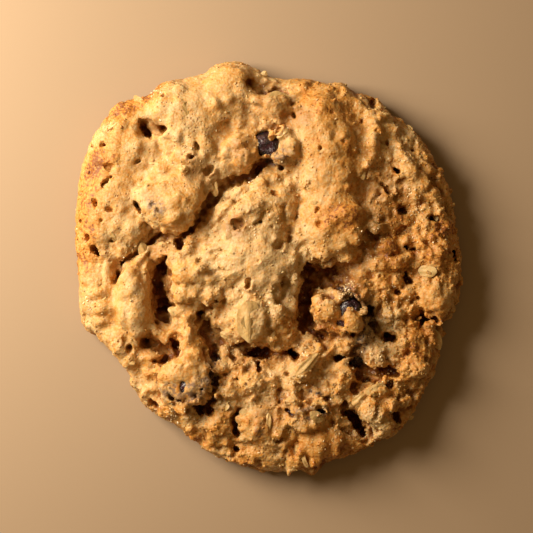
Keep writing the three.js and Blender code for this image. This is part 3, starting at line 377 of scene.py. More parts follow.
# Places where sugar glints: middle, how far it is spread, and how many grains.
SUGAR_SPOTS = [
    ((-18.6, 4.6), 1.6, 16), ((17.6, -6), 2.2, 40), ((18.6, -3.6), 1.4, 14), ((34, 13.4), 2, 24),
    ((-25.6, 40), 1.6, 22), ((-3.3, 20), 1.2, 12), ((24, -32.5), 1.4, 16), ((28, -26), 1.2, 10),
    ((-22, -33), 2, 24), ((7.5, -18.6), 1.6, 16), ((-40, -8), 2.6, 18), ((32.6, 17), 1.6, 14),
    ((-1.6, 27), 1.8, 12), ((-8.4, -18.6), 1.2, 10), ((-3.4, 8), 1.4, 12), ((34, 8), 5, 40),
    ((26, -20), 6, 50), ((30, -6), 5, 36), ((12, -26), 6, 36), ((-20, -33), 4, 20), ((22, 6), 4, 24),
    ((14, -38), 5, 24), ((-27, 41), 2, 12), ((41, 7), 1.6, 10), ((-6.8, 40.4), 1.6, 5),
    ((-17.6, 27.4), 1.4, 8), ((-3.4, -20.4), 1.2, 8),
]


# ---------------------------------------------------------------- bench work

def pick(*pieces):
    """Selects only these pieces, the first one active."""
    bpy.ops.object.select_all(action="DESELECT")
    for piece in pieces:
        piece.select_set(True)
    bpy.context.view_layer.objects.active = pieces[0]


def apply_modifier(piece, kind, **settings):
    """Adds a modifier with its settings and applies it at once."""
    modifier = piece.modifiers.new(kind.title(), kind)
    for key, value in settings.items():
        setattr(modifier, key, value)
    pick(piece)
    bpy.ops.object.modifier_apply(modifier=modifier.name)


def weld(pieces, name):
    """Joins pieces into one object of that name."""
    pick(*pieces)
    bpy.ops.object.join()
    pieces[0].name = name
    return pieces[0]


def rough_ball(name, jitter, seed, subdivisions=2):
    """A ball of unit radius with an uneven skin."""
    bpy.ops.mesh.primitive_ico_sphere_add(subdivisions=subdivisions, radius=1)
    ball = bpy.context.object
    ball.name = name
    bpy.ops.object.mode_set(mode="EDIT")
    bpy.ops.mesh.select_all(action="SELECT")
    bpy.ops.transform.vertex_random(offset=jitter, uniform=0.6, normal=0.6, seed=seed)
    bpy.ops.object.mode_set(mode="OBJECT")
    return ball


def copies(patterns, placings, name):
    """One piece of copies of the patterns, one for each placing matrix. The patterns are used up."""
    shapes = []
    for pattern in patterns:
        corners = np.empty(len(pattern.data.loops), int)
        pattern.data.loops.foreach_get("vertex_index", corners)
        shapes.append((points_of(pattern), corners.reshape(len(pattern.data.polygons), -1)))
        bpy.data.objects.remove(pattern)
    points, faces = [], []
    used = 0
    for number, matrix in enumerate(placings):
        spots, corners = shapes[number % len(shapes)]
        grid = np.array(matrix)
        points.append(spots @ grid[:3, :3].T + grid[:3, 3])
        faces.append(corners + used)
        used += len(spots)
    mesh = bpy.data.meshes.new(name)
    mesh.from_pydata(np.concatenate(points), [], np.concatenate(faces))
    piece = bpy.data.objects.new(name, mesh)
    bpy.context.collection.objects.link(piece)
    return piece


def placing(at, halves, normal=UP, spin=0.0, lean=(0.0, 0.0)):
    """A matrix, from millimetres, that sizes, spins and leans a unit shape and stands it on a normal."""
    stand = UP.rotation_difference(Vector(normal)).to_matrix().to_4x4()
    turned = Euler((lean[0], lean[1], spin)).to_matrix().to_4x4()
    sized = Matrix.Diagonal((halves[0] * MM, halves[1] * MM, halves[2] * MM, 1.0))
    return Matrix.Translation(Vector(at) * MM) @ stand @ turned @ sized


def points_of(piece):
    """A piece's points, in metres, one to a row."""
    flat = np.empty(len(piece.data.vertices) * 3)
    piece.data.vertices.foreach_get("co", flat)
    return flat.reshape(-1, 3)


def put_points(piece, points):
    piece.data.vertices.foreach_set("co", points.ravel())
    piece.data.update()


def normals_of(piece):
    flat = np.empty(len(piece.data.vertices) * 3, np.float32)
    piece.data.vertex_normals.foreach_get("vector", flat)
    return flat.reshape(-1, 3)


def faces_of(piece):
    """Centres, in millimetres, and normals of a piece's faces."""
    polygons = piece.data.polygons
    centres = np.empty(len(polygons) * 3)
    normals = np.empty(len(polygons) * 3)
    polygons.foreach_get("center", centres)
    polygons.foreach_get("normal", normals)
    return centres.reshape(-1, 3) / MM, normals.reshape(-1, 3)


def surface_at(piece, x, y):
    """The point, in millimetres, and the half upright normal of a piece's top at a place."""
    bpy.context.view_layer.update()
    _, point, normal, _ = piece.ray_cast(Vector((x, y, HIGH_ABOVE)) * MM, -UP)
    return point / MM, (normal + UP).normalized()


def smooth_step(values, low, high):
    """0 up to the low value, 1 from the high one on, and eased between."""
    share = np.clip((values - low) / (high - low), 0, 1)
    return share * share * (3 - 2 * share)


def cloud(points, size, seed):
    """Smooth noise from -1 to 1 at an array of points, with swells of about that size."""
    place = points / size + seed * 17.31
    cell = np.floor(place).astype(np.int64)
    part = place - cell
    part = part * part * (3 - 2 * part)
    total = np.zeros(len(points))
    for corner in itertools.product((0, 1), repeat=3):
        x, y, z = (cell + corner).T
        mixed = (x * 73856093) ^ (y * 19349663) ^ (z * 83492791)
        mixed = ((mixed ^ (mixed >> 13)) * 1274126177) & 0x7FFFFFFF
        mixed = ((mixed ^ (mixed >> 15)) * 668265263) & 0x7FFFFFFF
        weight = np.prod(np.where(corner, part, 1 - part), axis=1)
        total += weight * (mixed / 0x3FFFFFFF - 1)
    return total


def within(points, middle, long, short, turn):
    """1 in the middle of an oval seen from above, falling to 0 at its edge."""
    x, y = points[:, 0] - middle[0], points[:, 1] - middle[1]
    turn = math.radians(turn)
    along = (x * math.cos(turn) + y * math.sin(turn)) / long
    across = (y * math.cos(turn) - x * math.sin(turn)) / short
    return smooth_step(-np.hypot(along, across), -1.15, -0.6)


def line_distance(points, line):
    """How far each point is, seen from above, from a line of stretches."""
    nearest = np.full(len(points), np.inf)
    for start, end in zip(line, line[1:]):
        start, end = np.array(start), np.array(end)
        along = end - start
        share = np.clip((points[:, :2] - start) @ along / (along @ along), 0, 1)
        foot = start + share[:, None] * along
        nearest = np.minimum(nearest, np.linalg.norm(points[:, :2] - foot, axis=1))
    return nearest


def ruggedness(points):
    """How broken the top is at each point, up to 1 at the south-east of the round."""
    across = (0.8 * points[:, 0] - 0.6 * points[:, 1]) / (SOLID_HIGH.x / MM)
    rugged = np.clip(MIDDLE_BROKEN + MORE_BROKEN * across, LEAST_BROKEN, 1)
    for middle, long, short, turn in SMOOTH:
        rugged *= 1 - SMOOTHED * within(points, middle, long, short, turn)
    return rugged


# ---------------------------------------------------------------- dough

def dough_core():
    """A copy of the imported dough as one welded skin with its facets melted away."""
    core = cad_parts["dough"].copy()
    core.data = core.data.copy()
    core.parent = None
    for key in list(core.keys()):
        del core[key]
    bpy.context.collection.objects.link(core)
    core.name = "dough_crust"
    pick(core)
    bpy.ops.object.mode_set(mode="EDIT")
    bpy.ops.mesh.select_all(action="SELECT")
    bpy.ops.mesh.remove_doubles(threshold=0.001 * MM)
    bpy.ops.object.mode_set(mode="OBJECT")
    apply_modifier(core, "REMESH", mode="VOXEL", voxel_size=COARSE_GRAIN)
    apply_modifier(core, "SMOOTH", factor=0.5, iterations=6)
    return core


def sink(core):
    """Lowers the top where it is broken, but not at the edge, to make room for what stands on it."""
    points = points_of(core) / MM
    reach = np.hypot(points[:, 0] / SOLID_HIGH.x, points[:, 1] / SOLID_HIGH.y) * MM
    share = ruggedness(points) * smooth_step(points[:, 2], 3.0, 7.0) * smooth_step(-reach, -0.92, -0.74)
    points[:, 2] -= SINK * share
    put_points(core, points * MM)


def spots_on(piece, gap, rng, count=10_000, lowest=0.8):
    """Random spots on a piece's upper and side faces, no two nearer than the gap, in millimetres."""
    centres, normals = faces_of(piece)
    order = np.flatnonzero((normals[:, 2] > -0.3) & (centres[:, 2] > lowest))
    rng.shuffle(order)
    taken = {}
    spots = []
    for i in order:
        cell = tuple(int(v) for v in centres[i] // gap)
        near = itertools.product(*((c - 1, c, c + 1) for c in cell))
        if any(math.dist(centres[i], other) < gap for n in near for other in taken.get(n, ())):
            continue
        taken.setdefault(cell, []).append(tuple(centres[i]))
        spots.append((Vector(centres[i]), Vector(normals[i])))
        if len(spots) == count:
            break
    return spots


def covers():
    """Mounds of dough over the raisins."""
    patterns = [rough_ball("cover", 0.08, seed, 3) for seed in range(3)]
    placings = []
    for (x, y), long, short, turn, top in COVERS:
        at = (x, y, top - COVER_HALF)
        placings.append(placing(at, (long, short, COVER_HALF), spin=math.radians(turn)))
    return copies(patterns, placings, "covers")


def edge_nearness(x, y):
    """0 over most of the round, rising to 1 at its edge."""
    return float(smooth_step(math.hypot(x / SOLID_HIGH.x, y / SOLID_HIGH.y) * MM, 0.80, 0.96))


def nuggets(core, rng):
    """The listed lumps of dough, each an uneven egg standing out of the top."""
    patterns = [rough_ball("nugget", 0.10, seed, 3) for seed in range(8)]
    placings = []
    for (x, y), long, short, turn, rise in NUGGETS:
        point, normal = surface_at(core, x, y)
        rise *= 1 + (PROUD - 1) * ruggedness(np.array([point]))[0] - 0.8 * edge_nearness(x, y)
        deep = 0.75 * min(long, short) + 0.8
        lean = (rng.gauss(0, 0.12), rng.gauss(0, 0.12))
        at = point + normal * (rise - deep)
        placings.append(placing(at, (long, short, deep), normal, math.radians(turn), lean))
    return copies(patterns, placings, "nuggets")


def small_bits(core, rng):
    """Smaller bits of dough that fill in between the nuggets, most of them where the top is broken."""
    patterns = [rough_ball("bit", 0.16, seed) for seed in range(8)]
    placings = []
    for at, normal in spots_on(core, BIT_GAP, rng, lowest=2.5):
        if rng.random() > ruggedness(np.array([at]))[0] - 0.6 * edge_nearness(at.x, at.y):
            continue
        size = 0.6 + 1.1 * rng.random() ** 2.0
        halves = (size * rng.uniform(1, 1.6), size * rng.uniform(0.8, 1.1), size * rng.uniform(0.4, 0.7))
        lean = (rng.gauss(0, 0.4), rng.gauss(0, 0.4))
        at = at + normal * rng.uniform(-0.1, 0.45)
        placings.append(placing(at, halves, normal, rng.uniform(0, math.tau), lean))
    return copies(patterns, placings, "bits")


def beads(core, line, half, floor, rng):
    """Placings of upright eggs along a line, each down to about the floor and widest above the dough."""
    found = []
    for (x0, y0), (x1, y1) in zip(line, line[1:]):
        steps = max(2, int(math.dist((x0, y0), (x1, y1)) / (0.3 * half)))
        for step in range(steps + 1):
            share = step / steps
            width = half * rng.uniform(0.5, 1.15)
            wobble = half * 0.4
            x = x0 + (x1 - x0) * share + rng.uniform(-wobble, wobble)
            y = y0 + (y1 - y0) * share + rng.uniform(-wobble, wobble)
            top = surface_at(core, x, y)[0].z
            bottom = floor if floor < DEEP_FLOOR else max(floor, top - CREVICE_DEPTH)
            bottom += rng.uniform(-0.4, 0.6)
            waist = max(top, bottom) + 1.2
            found.append(placing((x, y, waist), (width, width, waist - bottom), spin=rng.uniform(0, 6)))
    return found


def hollows(core, rng):
    """The cutter for crevices, pits, cracks, slits, openings and the small holes left by steam."""
    patterns = [rough_ball("hollow", 0.32, seed) for seed in range(6)]
    placings = []
    for line, half, floor in CREVICES:
        placings += beads(core, line, half, floor, rng)
    for (x, y), long, short, turn in PITS:
        top = surface_at(core, x, y)[0].z
        for _ in range(3):
            at = (x + long * rng.uniform(-0.6, 0.6), y + short * rng.uniform(-0.6, 0.6), top + 1)
            halves = (
                long * rng.uniform(0.5, 1.1),
                short * rng.uniform(0.6, 1.1),
                1 + PIT_DEPTH * rng.uniform(0.5, 1),
            )
            placings.append(placing(at, halves, spin=math.radians(turn) + rng.uniform(-0.5, 0.5)))
    for line in CRACKS:
        placings += beads(core, line, CRACK_HALF, CRACK_FLOOR, rng)
    for line, half in SLITS:
        placings += beads(core, line, half, SLIT_FLOOR, rng)
    for at, normal in spots_on(core, PORE_GAP, rng, PORES):
        size = 0.2 + 0.4 * rng.random() ** 3
        halves = (size * rng.uniform(0.8, 1.6), size, size * rng.uniform(1.4, 2.6))
        placings.append(placing(at, halves, normal, rng.uniform(0, math.tau), (rng.gauss(0, 0.3), 0)))
    for (x, y), long, short, turn in OPENINGS:
        at = (x, y, OPENING_MIDDLE)
        placings.append(placing(at, (long, short, OPENING_HALF), spin=math.radians(turn)))
    cutter = copies(patterns, placings, "hollows")
    apply_modifier(cutter, "REMESH", mode="VOXEL", voxel_size=CUTTER_GRAIN)
    roughen(cutter, *CUTTER_WAVES)
    roughen(cutter, *CUTTER_GRIT)
    apply_modifier(cutter, "REMESH", mode="VOXEL", voxel_size=CUTTER_FINISH)
    return cutter


def cells(points, gap, seeds):
    """Nearest seed of each point and how far the point is inside that seed's cell, in shares of the gap."""
    tree = KDTree(len(seeds))
    for number, seed in enumerate(seeds):
        tree.insert(seed, number)
    tree.balance()
    nearest = np.empty(len(points), int)
    inside = np.empty(len(points))
    for number, point in enumerate(points):
        (_, index, first), (_, _, second) = tree.find_n(point, 2)
        nearest[number] = index
        inside[number] = (second - first) / gap
    return nearest, inside


def clump(piece, gap, depth, least, rng):
    """Swells the surface into nodules with clefts between them; least is their share on smooth crust."""
    spots = [at for at, _ in spots_on(piece, gap * 0.72, rng)]
    points = points_of(piece) / MM
    warp = np.stack([cloud(points, gap * 0.8, seed) for seed in (1, 2, 3)], axis=1) * gap * 0.33
    nearest, inside = cells(points + warp, gap, spots)
    lift = np.array([rng.uniform(0.2, 1) for _ in spots])[nearest]
    swell = smooth_step(inside, -0.05, 0.5) * lift - 0.45
    share = least + (1 - least) * ruggedness(points)
    share *= smooth_step(points[:, 2], 0.3, 3.5)
    move = normals_of(piece) * (swell * share * depth)[:, None]
    put_points(piece, (points + move) * MM)


def crease(piece, size, depth, seed, least):
    """Folds the surface into rounded mounds with narrow valleys; least is their share on smooth crust."""
    points = points_of(piece) / MM
    warp = np.stack([cloud(points, size, seed + n) for n in (1, 2, 3)], axis=1) * size * 0.4
    valley = 1 - np.minimum(np.abs(cloud(points + warp, size, seed)) / 0.17, 1)
    share = (least + (1 - least) * ruggedness(points)) * smooth_step(points[:, 2], 1.5, 4.5)
    move = normals_of(piece) * (valley**1.4 * share * depth)[:, None]
    put_points(piece, (points - move) * MM)


def roughen(piece, size, depth, seed, least):
    """Shifts the surface by noise, except at the underside; least is its share on smooth crust."""
    points = points_of(piece) / MM
    shift = cloud(points, size, seed) + 0.5 * cloud(points, size / 2, seed + 1)
    shift *= smooth_step(points[:, 2], 0.2, 1.2) * (least + (1 - least) * ruggedness(points)) * depth
    put_points(piece, (points + normals_of(piece) * shift[:, None]) * MM)


def settle(piece):
    """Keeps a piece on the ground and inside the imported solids' box."""
    points = points_of(piece)
    points[:, 2] = np.where(points[:, 2] < GROUND_REACH * MM, 0, points[:, 2])
    put_points(piece, np.clip(points, np.array(SOLID_LOW), np.array(SOLID_HIGH)))


def make_dough():
    """The crust: core, covers, lumps and bits melted into one, folded, cut by the hollows and roughened."""
    rng = random.Random(41)
    core = dough_core()
    sink(core)
    core = weld([core, covers()], "dough_crust")
    lumps = nuggets(core, rng)
    cutter = hollows(core, rng)
    crust = weld([core, lumps, small_bits(core, rng)], "dough_crust")
    apply_modifier(crust, "REMESH", mode="VOXEL", voxel_size=COARSE_GRAIN)
    apply_modifier(crust, "SMOOTH", factor=0.5, iterations=1)
    crease(crust, *FOLDS)
    crease(crust, *WRINKLES)
    roughen(crust, *WAVES)
    apply_modifier(crust, "REMESH", mode="VOXEL", voxel_size=FINE_GRAIN)
    apply_modifier(crust, "BOOLEAN", operation="DIFFERENCE", object=cutter, solver="MANIFOLD")
    bpy.data.objects.remove(cutter)
    apply_modifier(crust, "REMESH", mode="VOXEL", voxel_size=FINE_GRAIN)
    roughen(crust, *BREAKS)
    clump(crust, *NODULES, rng)
    roughen(crust, *GRIT)
    settle(crust)
    triangles = 2 * len(crust.data.polygons)
    apply_modifier(crust, "DECIMATE", ratio=min(1.0, DOUGH_TRIANGLES / triangles))
    settle(crust)
    return crust


def finish_piece(piece, material):
    """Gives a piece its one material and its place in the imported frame."""
    piece.data.materials.clear()
    piece.data.materials.append(material)
    piece.data.polygons.foreach_set("material_index", np.zeros(len(piece.data.polygons), int))
    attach(piece, "root")


def mark(piece, name, values):
    """Stores a value for each point, which the finishes read by its name."""
    layer = piece.data.attributes.new(name, "FLOAT", "POINT")
    layer.data.foreach_set("value", values.astype(np.float32))


def blurred_height(ground, points, reach):
    """Mean height of the ground in a square round each point, of that half side; all in millimetres."""
    step = 0.4  # side of a cell of the height map
    half = int(reach / step)
    width = 2 * half + 1
    low = ground[:, :2].min(axis=0) - reach - step
    column, row = ((ground[:, :2] - low) / step).astype(int).T
    size = (column.max() + half + 2, row.max() + half + 2)
    top = np.zeros(size)
    np.maximum.at(top, (column, row), ground[:, 2])
    total = np.pad(top, half + 1).cumsum(axis=0).cumsum(axis=1)
    blurred = total[width:, width:] - total[:-width, width:]
    blurred = blurred - total[width:, :-width] + total[:-width, :-width]
    column, row = ((points[:, :2] - low) / step).astype(int).T
    column = np.clip(column, 0, size[0] - 1)
    row = np.clip(row, 0, size[1] - 1)
    return blurred[column, row] / width**2


def mark_baked(piece, ground):
    """Notes on each point how deep in a hollow it lies, how brown it is and how far a raisin stained it."""
    points = points_of(piece) / MM
    normals = normals_of(piece)
    rise = points[:, 2] - blurred_height(ground, points, WIDE)
    tip = points[:, 2] - blurred_height(ground, points, NEAR)
    lie = points[:, 2] - blurred_height(ground, points, WIDEST)
    under = smooth_step(-normals[:, 2], 0.2, 0.9)  # the underside has no gaps and hollows, and is browner
    # The gap, hollow and depth marks say where the finish paints shade: between lumps, in hollows, in wide
    # low valleys and in crevices; the underside gets none.
    mark(piece, "gap", smooth_step(-tip, -0.05, 0.45) * (1 - under))
    mark(piece, "broken", ruggedness(points))
    hollow = np.maximum(smooth_step(-rise, 0.1, 1.7), 0.6 * smooth_step(-lie, 0.3, 2.4))
    # Painted shade in low places that lie in shadow.
    for middle, long, short, turn, strength in PAINTED_SHADE_SPOTS:
        hollow = np.maximum(hollow, 0.8 * strength * within(points, middle, long, short, turn))
    mark(piece, "hollow", hollow * (1 - under))
    mark(piece, "depth", smooth_step(-rise, 1.4, 3.6) * (1 - under))
    low_edge = smooth_step(-points[:, 2], -6.0, -1.5)
    crest = smooth_step(tip, -0.1, 0.5)
    # Browner towards the south-east: partly oven browning, partly painted light, the west left creamier
    # where the lamp's light falls whitest.
    south_east = (0.7 * points[:, 0] - 0.7 * points[:, 1]) / (SOLID_HIGH.x / MM)
    brown = 0.29 + 0.09 * south_east + 0.16 * crest + 0.19 * low_edge + 0.12 * cloud(points, 8, 21)
    # Oven browning, and painted light: paler crust stands in for light on slopes that face away from the
    # lamp.
    for middle, long, short, turn, strength in BROWNING_AND_PAINTED_LIGHT:
        brown += strength * within(points, middle, long, short, turn)
    brown += 0.3 * under
    mark(piece, "browning", np.clip(brown, 0, 1))
    film = np.zeros(len(points))
    for middle, long, short, turn in FILMS:
        film = np.maximum(film, within(points, middle, long, short, turn))
    mark(piece, "film", film)
    flank = np.zeros(len(points))
    for line, half in FLANKS:
        flank = np.maximum(flank, smooth_step(-line_distance(points, line) / half, -1.2, -0.5))
    flank *= 1 - 0.6 * smooth_step(tip, 0.2, 0.6)
    mark(piece, "flank", flank)


# ---------------------------------------------------------------- loose bits

def make_crumbs(crust, rng):
    """Crumbs half sunk in the top, thickest where it is broken."""
    patterns = [rough_ball("crumb", 0.2, seed, 1) for seed in range(6)]
    centres, normals = faces_of(crust)
    places = np.flatnonzero((centres[:, 2] > 1.5) & (normals[:, 2] > -0.2))
    rugged = ruggedness(centres[places])
    placings = []
    while len(placings) < CRUMBS:
        number = rng.randrange(len(places))
        if rng.random() > 0.05 + rugged[number] ** 1.5:
            continue
        size = 0.16 + 0.26 * rng.random() ** 2.5
        halves = (size * rng.uniform(1, 1.5), size, size * rng.uniform(0.7, 1))
        normal = Vector(normals[places[number]])
        at = Vector(centres[places[number]]) + normal * 0.05 * size
        placings.append(placing(at, halves, normal, rng.uniform(0, math.tau)))
    return copies(patterns, placings, "crumbs")


def oat_pattern(seed):
    """A rolled oat flake of unit half size: an uneven oval with lengthwise ridges and a curl."""
    bpy.ops.mesh.primitive_grid_add(x_subdivisions=16, y_subdivisions=14, size=2)
    flake = bpy.context.object
    flake.name = "flake"
    points = points_of(flake)
    x, y = points[:, 0], points[:, 1]
    points = np.stack([x * np.sqrt(1 - y**2 / 2), y * np.sqrt(1 - x**2 / 2), 0 * x], axis=1)
    edge = 1 + 0.16 * cloud(points, 0.6, seed)
    points[:, :2] *= edge[:, None]
    ridges = np.cos(7 * points[:, 1] + 0.8 * cloud(points, 0.8, seed + 7))
    dome = -1.1 * points[:, 1] ** 2 - 0.8 * points[:, 0] ** 2
    points[:, 2] = dome + 0.12 * ridges + 0.6 * cloud(points, 0.7, seed + 3)
    put_points(flake, points)
    apply_modifier(flake, "SOLIDIFY", thickness=0.9, offset=-1)
    bpy.ops.object.select_all(action="DESELECT")
    return flake


def make_oats(crust, rng):
    """Bare oat flakes in the top, and broken bits of flake."""
    patterns = [oat_pattern(seed) for seed in range(6)]
    placings = []
    for (x, y), long, short, turn, along, across, rise in OAT_FLAKES:
        point, normal = surface_at(crust, x, y)
        normal = (normal + UP).normalized()
        lean = (math.radians(across), math.radians(along))
        at = point + normal * (rise - FLAKE_SINK)
        placings.append(placing(at, (long, short, FLAKE_HALF), normal, math.radians(turn), lean))
    for at, normal in spots_on(crust, OAT_GAP, rng, OAT_BITS, LOOSE_LOWEST):
        size = 0.5 + 0.9 * rng.random() ** 1.6
        halves = (size * rng.uniform(1.1, 1.8), size, FLAKE_BIT_HALF)
        normal = (normal + 2 * UP).normalized()
        lean = (rng.gauss(0, 0.4), rng.gauss(0, 0.4))
        placings.append(placing(at - normal * 0.15, halves, normal, rng.uniform(0, math.tau), lean))
    return copies(patterns, placings, "oat_flakes")


def make_sugar(crust, rng):
    """Small clear grains where syrup and sugar came to the surface, and a thin scatter all over."""
    patterns = [rough_ball("grain", 0.25, seed, 1) for seed in range(4)]
    spots = []
    for (x, y), reach, count in SUGAR_SPOTS:
        for _ in range(count):
            spots.append((rng.gauss(x, reach / 2), rng.gauss(y, reach / 2)))
    for at, _ in spots_on(crust, SUGAR_GAP, rng, SUGAR_SCATTER, LOOSE_LOWEST):
        spots.append((at.x, at.y))
    placings = []
    for x, y in spots:
        point, normal = surface_at(crust, x, y)
        size = rng.uniform(0.10, 0.22)
        halves = (size * rng.uniform(1, 1.6), size, size * rng.uniform(0.7, 1))
        placings.append(placing(point + normal * 0.4 * size, halves, normal, rng.uniform(0, math.tau)))
    return copies(patterns, placings, "sugar_grains")


# ---------------------------------------------------------------- finishes

def add(tree, kind, values=None, **settings):
    """A shader node with its settings, its inputs set or linked."""
    node = tree.nodes.new(kind)
    for key, value in settings.items():
        setattr(node, key, value)
    for key, value in (values or {}).items():
        if isinstance(value, bpy.types.NodeSocket):
            tree.links.new(value, node.inputs[key])
        else:
            node.inputs[key].default_value = value
    return node


def mix_colour(tree, factor, a, b, mode="MIX"):
    """One colour mixed with another by a factor; each may be a value or an output."""
    node = add(tree, "ShaderNodeMix", data_type="RGBA", blend_type=mode)
    for index, value in ((0, factor), (6, a), (7, b)):
        if isinstance(value, bpy.types.NodeSocket):
            tree.links.new(value, node.inputs[index])
        elif index == 0:
            node.inputs[index].default_value = value
        else:
            node.inputs[index].default_value = (*value, 1)
    return node.outputs[2]


def ease(tree, value, low, high, to_low=0.0, to_high=1.0):
    """A value between two limits, brought to between two others with eased ends."""
    values = {"Value": value, "From Min": low, "From Max": high, "To Min": to_low, "To Max": to_high}
    return add(tree, "ShaderNodeMapRange", values, interpolation_type="SMOOTHSTEP").outputs["Result"]


def sums(tree, operation, a, b):
    return add(tree, "ShaderNodeMath", {0: a, 1: b}, operation=operation).outputs["Value"]


def swing(tree, value, reach):
    """A value round a half, brought to swing that far either side of nothing."""
    return sums(tree, "MULTIPLY", sums(tree, "SUBTRACT", value, 0.5), 2 * reach)


def noise(tree, place, size, detail=3.0, distortion=0.0):
    """Noise from 0 to 1 with swells of that size, in millimetres."""
    values = {"Vector": place, "Scale": 1 / (size * MM), "Detail": detail, "Distortion": distortion}
    return add(tree, "ShaderNodeTexNoise", values).outputs["Fac"]


def tones(tree, value, stops):
    """A colour that runs through the stops as the value goes from 0 to 1."""
    ramp = add(tree, "ShaderNodeValToRGB", {"Fac": value})
    stretch = ramp.color_ramp.elements
    while len(stretch) < len(stops):
        stretch.new(0.5)
    for element, (position, colour) in zip(stretch, stops):
        element.position = position
        element.color = (*colour, 1)
    return ramp.outputs["Color"]


def blotchy(tree, tone, place, blotches):
    """A tone swung by noises, each given by its size, detail, distortion and reach."""
    for size, detail, distortion, reach in blotches:
        tone = sums(tree, "ADD", tone, swing(tree, noise(tree, place, size, detail, distortion), reach))
    return tone


def start_material(name):
    """A new material with its node tree and its shader."""
    material = bpy.data.materials.new(name)
    material.use_nodes = True
    tree = material.node_tree
    return material, tree, tree.nodes["Principled BSDF"]


def set_plain(shader, values):
    """Sets what is the same all over the piece, on the shader's own sockets."""
    for socket, value in values.items():
        shader.inputs[socket].default_value = value


def set_bump(tree, shader, height, strength, distance):
    """Roughens the look of a surface by a height, over a distance in millimetres."""
    values = {"Height": height, "Strength": strength, "Distance": distance * MM}
    bump = add(tree, "ShaderNodeBump", values)
    tree.links.new(bump.outputs["Normal"], shader.inputs["Normal"])


def crumb_grain():
    """Fine crumb of baked dough: its height, its pores, and flecks from 0 to 1."""
    group = bpy.data.node_groups.new("crumb_grain", "ShaderNodeTree")
    group.interface.new_socket("Place", in_out="INPUT", socket_type="NodeSocketVector")
    for name in ("Height", "Pores", "Flecks"):
        group.interface.new_socket(name, in_out="OUTPUT", socket_type="NodeSocketFloat")
    place = add(group, "NodeGroupInput").outputs["Place"]
    fine = noise(group, place, 0.5, 3.0)
    coarse = noise(group, place, 1.3, 3.0, 0.4)
    pores = add(group, "ShaderNodeTexVoronoi", {"Vector": place, "Scale": 1 / (1.1 * MM)}, feature="F1")
    open_pore = ease(group, pores.outputs["Distance"], 0.10, 0.28, 1.0, 0.0)
    rare = ease(group, noise(group, place, 2.6, 1.0), 0.50, 0.62)
    open_pore = sums(group, "MULTIPLY", open_pore, rare)
    granules = add(group, "ShaderNodeTexVoronoi", {"Vector": place, "Scale": 1 / (0.8 * MM)}, feature="F1")
    grains = ease(group, granules.outputs["Distance"], 0.0, 0.75, 1.0, 0.0)
    height = sums(group, "ADD", sums(group, "MULTIPLY", fine, 0.9), sums(group, "MULTIPLY", coarse, 0.9))
    height = sums(group, "ADD", height, sums(group, "MULTIPLY", grains, 0.35))
    height = sums(group, "SUBTRACT", height, open_pore)
    flecks = ease(group, noise(group, place, 0.75, 2.0), 0.58, 0.70)
    add(group, "NodeGroupOutput", {"Height": height, "Pores": open_pore, "Flecks": flecks})
    return group


GRAIN = crumb_grain()

# The crust, from the palest to the brownest.
CREAM = (0.63, 0.444, 0.215)
STRAW = (0.615, 0.384, 0.158)
GOLDEN = (0.605, 0.312, 0.080)
ORANGE = (0.56, 0.222, 0.026)
BROWN = (0.25, 0.080, 0.012)

# Painted shade: what is left of the crust's colour between two lumps, in a hollow and in a crevice.
PAINTED_SHADES = {"gap": (0.65, 0.46, 0.22), "hollow": (0.48, 0.32, 0.115), "depth": (0.60, 0.40, 0.22)}

OAT_PALE = (0.70, 0.47, 0.20)
OAT = (0.64, 0.40, 0.145)
OAT_BRAN = (0.50, 0.27, 0.07)
STAIN = (0.15, 0.092, 0.066)  # dough soaked by a raisin
RAISIN_FLANK = (0.080, 0.044, 0.034)  # a raisin seen through the thinnest dough
RAISIN_BLACK = (0.008, 0.005, 0.008)
RAISIN_RED = (0.042, 0.012, 0.018)
SYRUP_PALE = (0.80, 0.62, 0.36)
SYRUP = (0.62, 0.40, 0.16)

# Blotches in a colour: size in millimetres, detail, distortion, and how far each swings the tone.
CRUST_BLOTCHES = ((5.5, 3.0, 0.5, 0.30), (1.6, 3.0, 0.3, 0.45), (0.6, 2.0, 0.0, 0.55))
OAT_BLOTCHES = ((2.2, 3.0, 0.0, 0.5), (0.6, 3.0, 0.0, 0.4))
OAT_TONE = 0.35


